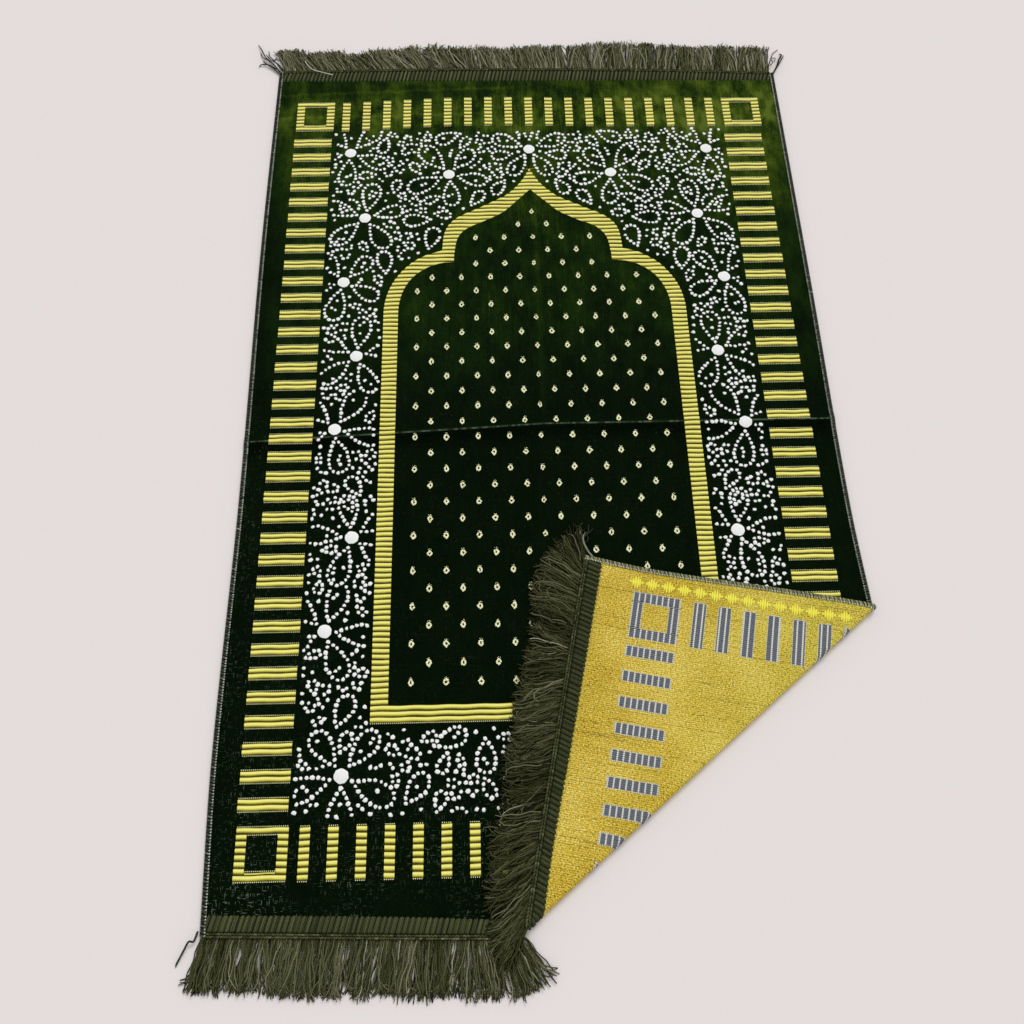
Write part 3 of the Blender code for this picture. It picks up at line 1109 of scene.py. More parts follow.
@dataclass(frozen=True)
class RibYarn:
    """Satin yarn that floats over a rib, with painted shade in the valleys and a painted highlight on the
    crests.
    """

    name: str
    valley_shade: Tint
    flank: Tint
    crest_highlight: Tint
    low: float
    high: float
    pitch: float = 0.0010

    def make(self, effects: Effects) -> Material:
        """Builds the material.

        Args:
            effects: the shared node groups.

        Returns:
            The material.
        """
        blank = Blank(self.name, Reads.PLAN, 0.44, 0.42)
        bench, place = blank.bench, blank.place
        height = bench.parts(place)[2]
        threads = bench.use(effects.threads, {"Place": place, "Pitch": self.pitch})
        drift = bench.use(effects.drift, {"Place": place, "Scale": 45.0})
        # The colour follows the height: painted shade low down and a painted highlight on top.
        share = bench.rise(height, self.low, self.high)
        share = bench.weigh(bench.less(threads.outputs["Shade"], 0.6), 0.22, share)
        share = bench.weigh(bench.less(drift.outputs["Shade"], 0.5), 0.10, share, clamp=True)
        colour = bench.shades(share, ((0.05, self.valley_shade), (0.50, self.flank), (0.92, self.crest_highlight)))
        return blank.close(colour, threads.outputs["Relief"], 0.0003, 0.7)


@dataclass(frozen=True)
class TwillBack:
    """The woven back: mustard gold floats over a darker ground, with a few broken dark picks."""

    dark: Tint = tint(112, 91, 12)
    warm: Tint = tint(214, 180, 44)
    body: Tint = tint(216, 196, 66)
    bright: Tint = tint(255, 243, 146)
    pick: Tint = tint(112, 92, 26)

    def make(self, effects: Effects) -> Material:
        """Builds the material.

        Args:
            effects: the shared node groups.

        Returns:
            The material.
        """
        blank = Blank("gold_twill_back", Reads.PLAN, 0.72, 0.2)
        bench, place = blank.bench, blank.place
        weave = bench.use(effects.weave, {"Place": place, "Across": 0.0022, "Along": 0.0017, "Slant": 0.5})
        drift = bench.use(effects.drift, {"Place": place, "Scale": 14.0})
        threads = bench.use(effects.threads, {"Place": place, "Pitch": 0.0021})
        knots = bench.grain(place, (720.0, 560.0, 1.0), 2.0, 0.75)
        share = bench.weigh(bench.rise(knots, 0.34, 0.66), 0.44, bench.times(weave.outputs["Shade"], 0.26))
        share = bench.weigh(threads.outputs["Shade"], 0.20, share)
        share = bench.weigh(bench.less(drift.outputs["Shade"], 0.4), 0.16, share, clamp=True)
        along = bench.parts(place)[1]
        body = bench.mix(bench.rise(along, -0.50, -0.28), self.warm, self.body)
        low = bench.mix(bench.rise(share, 0.10, 0.46), self.dark, body)
        colour = bench.mix(bench.rise(share, 0.46, 0.92), low, self.bright)
        picks = bench.grain(place, (430.0, 9.0, 1.0), 2.0, 0.6)
        broken = bench.grain(place, (500.0, 260.0, 1.0), 0.0)
        mark = bench.times(bench.rise(picks, 0.58, 0.66), bench.rise(broken, 0.40, 0.60, 0.10, 0.60))
        colour = bench.mix(mark, colour, self.pick)
        relief = bench.plus(weave.outputs["Relief"], bench.plus(knots, threads.outputs["Relief"]))
        return blank.close(colour, relief, 0.0006, 0.8)


@dataclass(frozen=True)
class SlateFloats:
    """The back of the gold figures: slate floats between white binding threads."""

    dark: Tint = tint(46, 50, 68)
    body: Tint = tint(120, 126, 134)
    white: Tint = tint(240, 236, 220)
    line_pitch: float = 0.0062

    def make(self, effects: Effects) -> Material:
        """Builds the material.

        Args:
            effects: the shared node groups.

        Returns:
            The material.
        """
        blank = Blank("slate_floats", Reads.PLAN, 0.7, 0.2)
        bench, place = blank.bench, blank.place
        weave = bench.use(effects.weave, {"Place": place, "Across": 0.0020, "Along": 0.0012, "Slant": 0.0})
        threads = bench.use(effects.threads, {"Place": place, "Pitch": self.line_pitch / 3})
        parts = bench.parts(place)
        share = bench.weigh(threads.outputs["Shade"], 0.6, bench.times(weave.outputs["Shade"], 0.35))
        colour = bench.mix(share, self.dark, self.body)
        phase = bench.maths("FRACT", bench.maths("DIVIDE", parts[1], self.line_pitch))
        line = bench.rise(bench.near(phase, 0.5), 0.09, 0.17, 1.0, 0.0)
        dash = bench.maths("SINE", bench.times(parts[0], 2 * math.pi / 0.0021))
        line = bench.times(line, bench.rise(dash, -0.8, 0.2, 0.45, 1.0))
        colour = bench.mix(line, colour, self.white)
        relief = bench.plus(threads.outputs["Relief"], line)
        return blank.close(colour, relief, 0.0004, 0.8)


@dataclass(frozen=True)
class Twisted:
    """Twisted yarn or thread, whose tone runs from dark to pale strand by strand."""

    name: str
    dark: Tint
    body: Tint
    light: Tint
    pale: Tint
    pitch: float
    roughness: float = 0.8
    specular: float = 0.15

    def make(self, effects: Effects) -> Material:
        """Builds the material.

        Args:
            effects: the shared node groups.

        Returns:
            The material.
        """
        blank = Blank(self.name, Reads.YARN, self.roughness, self.specular)
        bench, yarn = blank.bench, blank.place
        tone = bench.parts(yarn)[2]
        twist = bench.use(effects.twist, {"Yarn": yarn, "Pitch": self.pitch})
        fuzz = bench.grain(yarn, (3.0, 900.0, 40.0), 2.0)
        share = bench.weigh(bench.less(twist.outputs["Shade"], 0.5), 0.22, tone)
        share = bench.weigh(bench.less(fuzz, 0.5), 0.25, share, clamp=True)
        stops = ((0.0, self.dark), (0.42, self.body), (0.78, self.light), (1.0, self.pale))
        return blank.close(bench.shades(share, stops), twist.outputs["Relief"], 0.0003, 0.6)


@dataclass(frozen=True)
class Tape:
    """The woven tape under the band's stitches."""

    dark: Tint = tint(30, 33, 18)
    body: Tint = tint(66, 72, 44)

    def make(self, effects: Effects) -> Material:
        """Builds the material.

        Args:
            effects: the shared node groups.

        Returns:
            The material.
        """
        blank = Blank("olive_tape", Reads.PLAN, 0.85, 0.1)
        bench, place = blank.bench, blank.place
        weave = bench.use(effects.weave, {"Place": place, "Across": 0.0014, "Along": 0.0040, "Slant": -0.3})
        colour = bench.mix(weave.outputs["Shade"], self.dark, self.body)
        return blank.close(colour, weave.outputs["Relief"], 0.0006, 0.8)


class Wardrobe:
    """Every finish of the rug."""

    def __init__(self, plan: RugPlan) -> None:
        """Builds the shared effects and then each material.

        Args:
            plan: how the rug lies, which places its heights.
        """
        effects = Effects()
        pile = plan.pile
        self.velvet = Velvet().make(effects)
        self.back = TwillBack().make(effects)
        self.slate = SlateFloats().make(effects)
        self.tape = Tape().make(effects)
        # Each rib yarn's tints run from painted shade in the valley to a painted highlight on the crest.
        self.gold = RibYarn(
            "gold_rib_yarn", tint(40, 37, 2), tint(210, 195, 26), tint(255, 251, 138),
            low=pile + 0.0002, high=pile + 0.00125,
        ).make(effects)
        self.white = RibYarn(
            "white_tuft_yarn", tint(218, 225, 208), tint(250, 252, 246), tint(255, 255, 254),
            low=pile - 0.0002, high=pile + 0.0006, pitch=0.0008,
        ).make(effects)
        self.seed = RibYarn(
            "seed_yarn", tint(170, 172, 66), tint(232, 236, 136), tint(255, 255, 214),
            low=pile - 0.0001, high=pile + 0.0006, pitch=0.0009,
        ).make(effects)
        self.motif = RibYarn(
            "yellow_rib_yarn", tint(108, 90, 6), tint(238, 218, 36), tint(255, 246, 84),
            low=0.0, high=0.0010,
        ).make(effects)
        self.cord = Twisted(
            "olive_band_cord", tint(20, 24, 8), tint(64, 70, 40), tint(96, 102, 66), tint(126, 130, 92),
            pitch=0.0040,
        ).make(effects)
        self.end = Twisted(
            "gold_seam_ends", tint(96, 92, 30), tint(170, 158, 62), tint(216, 206, 104), tint(240, 234, 160),
            pitch=0.0030,
        ).make(effects)
        self.fringe = Twisted(
            "olive_fringe_yarn", tint(20, 21, 9), tint(70, 73, 43), tint(122, 121, 93), tint(186, 182, 158),
            pitch=0.0030, roughness=0.9, specular=0.04,
        ).make(effects)
        self.edging = Twisted(
            "grey_edge_thread", tint(10, 14, 8), tint(46, 54, 40), tint(92, 100, 82), tint(224, 228, 214),
            pitch=0.0016,
        ).make(effects)
        self.serging = Twisted(
            "pale_edge_thread", tint(64, 66, 40), tint(138, 138, 96), tint(188, 190, 156),
            tint(236, 238, 222), pitch=0.0016,
        ).make(effects)


@dataclass
class Sheet:
    """A closed sheet cut from the plan between two side edges and a stack of rows."""

    name: str
    left: Line
    right: Line
    rows: list[Line]
    columns: int
    pile: float
    back: float
    bend_steps: int = 12
    settle_steps: int = 10

    def grid(self) -> tuple[Array, Array]:
        """Solves where the sheet's columns and rows cross.

        Returns:
            u and v, each shaped (columns + 1, rows).
        """
        share = np.linspace(0, 1, self.columns + 1)[:, None]
        u = np.zeros((self.columns + 1, len(self.rows)))
        v = np.zeros_like(u)
        for _ in range(4):
            v = np.stack([row(u[:, k]) for k, row in enumerate(self.rows)], axis=1)
            u = self.left(v) + (self.right(v) - self.left(v)) * share
        return u, v

    def fold_lines(self) -> list[float]:
        """The lines across the fold along which the sheet is cut before it bends.

        Returns:
            How far across the fold each line lies.
        """
        bend = [PLAN.fold_start + PLAN.bend_length * k / self.bend_steps for k in range(self.bend_steps + 1)]
        step = PLAN.flap_settles_over / self.settle_steps
        return bend + [bend[-1] + step * k for k in range(1, self.settle_steps + 1)]

    def cut(self) -> tuple[Array, list[list[int]]]:
        """Cuts the flat mesh along the grid and the fold's lines.

        Returns:
            Its points on the plan as (u, v), and its faces.
        """
        u, v = self.grid()
        quads = grid_faces(*u.shape)
        flat = bpy.data.meshes.new(self.name + "_flat")
        flat.from_pydata(np.stack([u, v, 0 * u], axis=-1).reshape(-1, 3), [], quads.tolist())
        work = bmesh.new()
        work.from_mesh(flat)
        bpy.data.meshes.remove(flat)
        normal = (math.sin(PLAN.fold_direction), -math.cos(PLAN.fold_direction), 0.0)
        for line in self.fold_lines():
            everything = work.verts[:] + work.edges[:] + work.faces[:]
            point = (line * normal[0], line * normal[1], 0.0)
            bmesh.ops.bisect_plane(work, geom=everything, dist=1e-5, plane_co=point, plane_no=normal)
        work.verts.index_update()
        points = np.array([vertex.co[:2] for vertex in work.verts])
        faces = [[vertex.index for vertex in face.verts] for face in work.faces]
        work.free()
        return points, faces

    def make(self, finishes: list[Material]) -> Piece:
        """Lays both sides and joins them round the rim.

        Args:
            finishes: the pile side's material and, where it differs, the back's.

        Returns:
            The sheet.
        """
        points, faces = self.cut()
        count = len(points)
        stock = Stock(Reads.PLAN)
        sides = {(start, end) for face in faces for start, end in zip(face, face[1:] + face[:1])}
        rim = [(s + count, e + count, e, s) for s, e in sides if (e, s) not in sides]
        pile = np.column_stack([points, np.full(count, self.pile)])
        back = np.column_stack([points, np.full(count, self.back)])
        stock.add_laid(np.concatenate([pile, back]), [])
        stock.faces = faces + [[corner + count for corner in reversed(face)] for face in faces] + sorted(rim)
        other = len(finishes) - 1
        stock.finishes = [0] * len(faces) + [other] * (len(faces) + len(rim))
        return stock.make(self.name, finishes, sharp=50.0)


@dataclass
class Cloth:
    """The velvet sheet itself."""

    wardrobe: Wardrobe
    columns: int = 108
    rows_below: int = 80
    rows_above: int = 86
    crease_offsets: tuple[float, ...] = (
        -0.012, -0.008, -0.005, -0.003, -0.0018, -0.0008, 0.0, 0.0008, 0.0018, 0.003, 0.005, 0.008, 0.012,
    )
    flat: Pair = (0.673, 1.083)

    def rows(self) -> list[Line]:
        """The sheet's rows, which crowd together at the crease.

        Returns:
            Each row, as a function of u.
        """
        bottom, crease, top = edge(BOTTOM_SEAM), edge(CREASE), edge(TOP_SEAM)
        near = PLAN.crease_half_width
        made = []
        for k in range(self.rows_below):
            share = k / self.rows_below
            made.append(lambda u, s=share: bottom(u) + (crease(u) - near - bottom(u)) * s)
        for offset in self.crease_offsets:
            made.append(lambda u, o=offset: crease(u) + o)
        for k in range(1, self.rows_above + 1):
            share = k / self.rows_above
            made.append(lambda u, s=share: crease(u) + near + (top(u) - crease(u) - near) * s)
        return made

    def build(self) -> Piece:
        """Makes the cloth and fits it in place of its CAD node.

        Returns:
            The cloth.
        """
        left, right = edge(LEFT_EDGE), edge(RIGHT_EDGE)
        sheet = Sheet(
            "rug_velvet_sheet",
            lambda v: left(v) + PLAN.binding,
            lambda v: right(v) - PLAN.binding,
            self.rows(), self.columns, PLAN.pile, PLAN.back + 0.0002,
        )
        return fit(sheet.make([self.wardrobe.velvet, self.wardrobe.back]), Slot.VELVET, "rug_cloth")


@dataclass
class RibbedFigures:
    """The gold figures: side bars, end bars, corner squares and the niche, all of level ribs."""

    wardrobe: Wardrobe
    rib_pitch: float = 0.00625
    rib_height: float = 0.0011
    valley_height: float = 0.0001
    column: float = 0.0010
    tooth: float = 0.0020
    tooth_depth: float = 0.0005
    bar_half_length: float = 0.025
    bar_half_height: float = 0.0062
    left_middle: float = -0.2866
    right_middle: float = 0.2878
    end_bar_half_width: float = 0.0053
    end_bar_ribs: int = 8
    bottom_middle: float = -0.4745
    square_half_width: float = 0.0253
    square_ring: float = 0.0105
    tip_radius: float = 0.00066
    tip_inset: float = 0.001
    side_tips_over: float = 0.0007
    tips_over: float = 0.0008
    tips_under: float = 0.0001
    thin_rib: float = 0.0022
    thin_tips: float = 0.0034
    hidden_depth: float = 0.012
    sway: float = 0.00024
    sway_length: float = 0.034
    profile: tuple[Pair, ...] = (
        (0.0, 0.0), (0.13, 0.19), (0.33, 0.52), (0.58, 0.94), (0.77, 1.0), (0.92, 0.48), (1.0, 0.0),
    )

    def rib(
        self, stock: Stock, low: float, high: float, left: Line, right: Line, toothed: bool = False,
    ) -> None:
        """Weaves one rib between two levels and two side lines.

        Args:
            stock: where its surface goes.
            low: its lower edge along the rug.
            high: its upper edge.
            left: the left line, as a function of the level.
            right: the right line.
            toothed: whether its lower edge shows the yarns' ends.
        """
        shares, heights = np.array(self.profile).T
        v = low + (high - low) * shares
        start, end = left(v) + 0 * v, right(v) + 0 * v
        length = float(np.max(end - start))
        if length < 2 * self.column:
            return
        columns = max(3, round(length / self.column))
        inset = 0.3 * self.column / length
        share = np.concatenate([[0.0], np.linspace(inset, 1 - inset, columns + 1), [1.0]])[:, None]
        u = start + (end - start) * share
        yarn = 0.5 + 0.5 * np.cos(2 * math.pi * u / self.tooth)
        plan = np.zeros((*u.shape, 3))
        plan[..., 0] = u
        plan[..., 1] = v
        plan[..., 2] = PLAN.pile + self.valley_height + self.rib_height * heights * (0.88 + 0.12 * yarn)
        plan[..., 1] += self.sway * np.sin(u * 2 * math.pi / self.sway_length + low * 977.0)
        if toothed:
            plan[:, 0, 1] -= self.tooth_depth * yarn[:, 0]
        plan[(0, -1), :, 2] = PLAN.pile - 0.0003
        stock.add_laid(plan.reshape(-1, 3), [grid_faces(*u.shape)])

    def hidden(self, u: float, v: float) -> bool:
        """Whether a figure there lies deep under the folded corner or on its far side.

        Args:
            u: the place across the rug.
            v: the place along the rug.

        Returns:
            Whether it is hidden.
        """
        past = float(PLAN.past_fold(np.float64(u), np.float64(v)))
        if past > -0.002:
            return True
        mirror = (u - 2 * past * math.sin(PLAN.fold_direction), v + 2 * past * math.cos(PLAN.fold_direction))
        under_side = mirror[0] < float(follow(RIGHT_EDGE, mirror[1], "across")) - self.hidden_depth
        under_end = mirror[1] > float(follow(BOTTOM_EDGE, mirror[0], "across")) + self.hidden_depth
        return under_side and under_end

    def bar_places(self, table: tuple[BarPlace, ...]) -> Array:
        """Where each bar of a row lies along it."""
        rows = np.array(table, float)
        return np.interp(np.arange(rows[-1, 0] + 1), rows[:, 0], rows[:, 1])

    def side_bars(self, name: str, middle: float, table: tuple[BarPlace, ...]) -> Piece:
        """Makes one column of side bars, each of two ribs under a line of thread tips.

        Args:
            name: the piece's name.
            middle: where the column lies across the rug.
            table: where its bars lie along the rug.

        Returns:
            The piece.
        """
        stock = Stock(Reads.PLAN)
        draw = np.random.default_rng(11)
        tips = []
        for level in self.bar_places(table):
            ends = [middle - self.bar_half_length, middle + self.bar_half_length]
            if all(self.hidden(u, level) for u in ends):
                continue
            sway = draw.uniform(-0.0003, 0.0003)
            left = lambda v, u=ends[0] + sway: u
            right = lambda v, u=ends[1] + sway: u
            middle_level = level + 0.0002
            self.rib(stock, middle_level, level + self.bar_half_height - 0.0004, left, right)
            self.rib(stock, level - self.bar_half_height, middle_level, left, right, toothed=True)
            tips.append(self.tip_row(*ends, level + self.bar_half_height + self.side_tips_over))
            tips.append(self.tip_row(*ends, level - self.bar_half_height - self.tips_under))
        self.add_tips(stock, np.concatenate(tips), draw)
        return fit(stock.make(name, [self.wardrobe.gold, self.wardrobe.seed]), Slot.VELVET)

    def tip_row(self, low: float, high: float, level: float) -> Array:
        """Places a row of thread tips between two ends at one level."""
        places = np.arange(low + self.tip_inset, high, self.tooth)
        return np.column_stack([places, np.full(len(places), level)])

    def add_tips(self, stock: Stock, centres: Array, draw: Draw) -> None:
        """Adds tiny thread tips, as stand in a row above and below a figure."""
        radii = np.full(len(centres), self.tip_radius)
        stock.add_laid(*domes(centres, radii, PLAN.pile - 0.0001, 0.0006, 5, draw, stretch=1.15), finish=1)

    def end_bars(self, name: str, table: tuple[BarPlace, ...], middle: Line) -> Piece:
        """Makes one row of upright bars, each a ladder of short ribs.

        Args:
            name: the piece's name.
            table: where its bars lie across the rug.
            middle: the level of the bars' middles, as a function of u.

        Returns:
            The piece.
        """
        stock = Stock(Reads.PLAN)
        draw = np.random.default_rng(12)
        tips = []
        half_height = self.end_bar_ribs * self.rib_pitch / 2
        for u in self.bar_places(table):
            level = float(middle(np.float64(u)))
            if self.hidden(u, level):
                continue
            left = lambda v, u=u: u - self.end_bar_half_width
            right = lambda v, u=u: u + self.end_bar_half_width
            for rib in range(self.end_bar_ribs):
                low = level - half_height + rib * self.rib_pitch
                self.rib(stock, low, low + self.rib_pitch, left, right, toothed=rib == 0)
            ends = (u - self.end_bar_half_width, u + self.end_bar_half_width)
            tips.append(self.tip_row(*ends, level + half_height + self.tips_over))
            tips.append(self.tip_row(*ends, level - half_height - self.tips_under))
        self.add_tips(stock, np.concatenate(tips), draw)
        return fit(stock.make(name, [self.wardrobe.gold, self.wardrobe.seed]), Slot.VELVET)

    def squares(self) -> Piece:
        """Makes the corner squares: rings of ribs round a patch of pile.

        Returns:
            The piece.
        """
        stock = Stock(Reads.PLAN)
        draw = np.random.default_rng(13)
        half_height = self.end_bar_ribs * self.rib_pitch / 2
        inner = self.square_half_width - self.square_ring
        hole = inner / self.square_half_width
        for u, level in SQUARES[:-1]:
            for rib in range(self.end_bar_ribs):
                low = level - half_height + rib * self.rib_pitch
                whole = rib in (0, self.end_bar_ribs - 1)
                for start, end in ((-1, 1),) if whole else ((-1, -hole), (hole, 1)):
                    left = lambda v, u=u, s=start: u + s * self.square_half_width
                    right = lambda v, u=u, s=end: u + s * self.square_half_width
                    self.rib(stock, low, low + self.rib_pitch, left, right, toothed=rib == 0)
            thin = level - half_height + self.rib_pitch
            self.rib(stock, thin, thin + self.thin_rib, lambda v, u=u: u - inner, lambda v, u=u: u + inner)
            for reach, at in (
                (self.square_half_width, half_height + self.tips_over),
                (self.square_half_width, -half_height - self.tips_under),
                (inner, half_height - self.rib_pitch - self.tips_over),
                (inner, -half_height + self.rib_pitch + self.thin_tips),
            ):
                self.add_tips(stock, self.tip_row(u - reach, u + reach, level + at), draw)
        return fit(stock.make("corner_squares", [self.wardrobe.gold, self.wardrobe.seed]), Slot.VELVET)


@dataclass(frozen=True)
class Niche:
    """The niche's outline: straight legs, round shoulders and an ogee that meets in a point."""

    outer_half: float = 0.1848
    inner_half: float = 0.1666
    outer_shoulder: Shoulder = Shoulder(across=0.1000, along=0.1520, rise=0.0950, roundness=2.0)
    inner_shoulder: Shoulder = Shoulder(across=0.0980, along=0.1500, rise=0.0780, roundness=2.2)
    bottom_outer: float = -0.3506
    bottom_inner: float = -0.3325
    middle: float = -0.0008

    def half(self, v: Array, leg: float, shoulder: Shoulder, ogee: tuple[NichePoint, ...]) -> Array:
        """Half the width of an outline at a level.

        Args:
            v: the levels.
            leg: half the width between the legs.
            shoulder: the shoulder over them.
            ogee: the rows of the pointed part.

        Returns:
            Half the width, negative above the point.
        """
        v = np.asarray(v, float)
        across, along, rise, power = shoulder
        climb = np.clip((v - along) / rise, 0.0, 1.0)
        round_part = across + (leg - across) * (1 - climb**power) ** (1 / power)
        pointed = follow(ogee, v, "half")
        half = np.where(v >= ogee[0].along, pointed, round_part)
        return np.where(v > ogee[-1].along, -0.01, half)

    def outer(self, v: Array) -> Array:
        """Half the outer width at a level."""
        return self.half(v, self.outer_half, self.outer_shoulder, OUTER_OGEE)

    def inner(self, v: Array) -> Array:
        """Half the inner width at a level."""
        return self.half(v, self.inner_half, self.inner_shoulder, INNER_OGEE)

    def build(self, ribs: RibbedFigures) -> Piece:
        """Weaves the niche's band as level ribs clipped by its two outlines.

        Args:
            ribs: the figures' rib maker.

        Returns:
            The piece.
        """
        stock = Stock(Reads.PLAN)
        pitch = (self.bottom_inner - self.bottom_outer) / 3
        top = OUTER_OGEE[-1].along
        low = self.bottom_outer
        outer_left, outer_right = lambda v: self.middle - self.outer(v), lambda v: self.middle + self.outer(v)
        inner_left = lambda v: self.middle - np.maximum(self.inner(v), 0)
        inner_right = lambda v: self.middle + np.maximum(self.inner(v), 0)
        while low + pitch < top + 0.001:
            high = low + pitch
            middle = (low + high) / 2
            if middle < self.bottom_inner or middle > INNER_OGEE[-1].along:
                spans = [(outer_left, outer_right)]
            else:
                spans = [(outer_left, inner_left), (inner_right, outer_right)]
            for left, right in spans:
                ends = [float(left(np.float64(middle))), float(right(np.float64(middle)))]
                if not all(ribs.hidden(u, middle) for u in ends):
                    ribs.rib(stock, low, high, left, right, toothed=low == self.bottom_outer)
            low = high
        reach = np.arange(-self.outer_half, self.outer_half, ribs.tooth)
        under = self.bottom_outer - ribs.tips_under
        tips = np.array([(u, under) for u in reach if not ribs.hidden(u, self.bottom_outer)])
        ribs.add_tips(stock, tips, np.random.default_rng(14))
        return fit(stock.make("niche_band", [ribs.wardrobe.gold, ribs.wardrobe.seed]), Slot.VELVET)


@dataclass
class SeedFigures:
    """The small seeds that dot the niche's field: a ring of tufts round a dark eye, with a tip."""

    wardrobe: Wardrobe
    niche: Niche
    column_pitch: float = 0.0181
    row_pitch: float = 0.0411
    last_column: int = 8
    even_start: float = 0.3074
    odd_start: float = 0.2868
    rows: int = 16
    clearance: float = 0.0085
    tufts: tuple[Triple, ...] = (
        (0.0, 0.0027, 0.0014), (0.0014, 0.0015, 0.0014), (0.0021, -0.0003, 0.0015),
        (0.0013, -0.0019, 0.0014), (0.0, -0.0031, 0.0014), (-0.0013, -0.0019, 0.0014),
        (-0.0021, -0.0003, 0.0015), (-0.0014, 0.0015, 0.0014),
        (-0.0013, 0.0042, 0.0005), (0.0002, 0.0048, 0.0006), (0.0015, 0.0041, 0.0005),
    )

    def places(self) -> Array:
        """Where the seeds lie: a staggered grid, kept clear of the niche's band.

        Returns:
            Their middles, one a row.
        """
        found = []
        for column in range(-self.last_column, self.last_column + 1):
            start = self.even_start if column % 2 == 0 else self.odd_start
            for row in range(-1, self.rows):
                u = column * self.column_pitch
                v = start - row * self.row_pitch
                edges = min(float(self.niche.inner(np.float64(v + shift))) for shift in (-0.004, 0.0, 0.005))
                if abs(u) < edges - self.clearance and v > self.niche.bottom_inner + 0.02:
                    found.append((u, v))
        return np.array(found)

    def build(self, ribs: RibbedFigures) -> Piece:
        """Makes the seeds that show.

        Args:
            ribs: the figures, which tell what is hidden.

        Returns:
            The piece.
        """
        draw = np.random.default_rng(21)
        stock = Stock(Reads.PLAN)
        seen = np.array([place for place in self.places() if not ribs.hidden(*place)])
        small = np.where(np.abs(seen[:, 0]) < self.column_pitch / 2, 0.86, 1.0)
        for across, along, radius in self.tufts:
            jitter = draw.normal(0, 0.00022, seen.shape)
            centres = seen + np.array([across, along]) * small[:, None] + jitter
            radii = radius * small * draw.uniform(0.85, 1.15, len(seen))
            stock.add_laid(*domes(centres, radii, PLAN.pile - TUFT_SINK, TUFT_HEIGHT, 5, draw, stretch=1.1))
        return fit(stock.make("field_seeds", [self.wardrobe.seed]), Slot.VELVET)


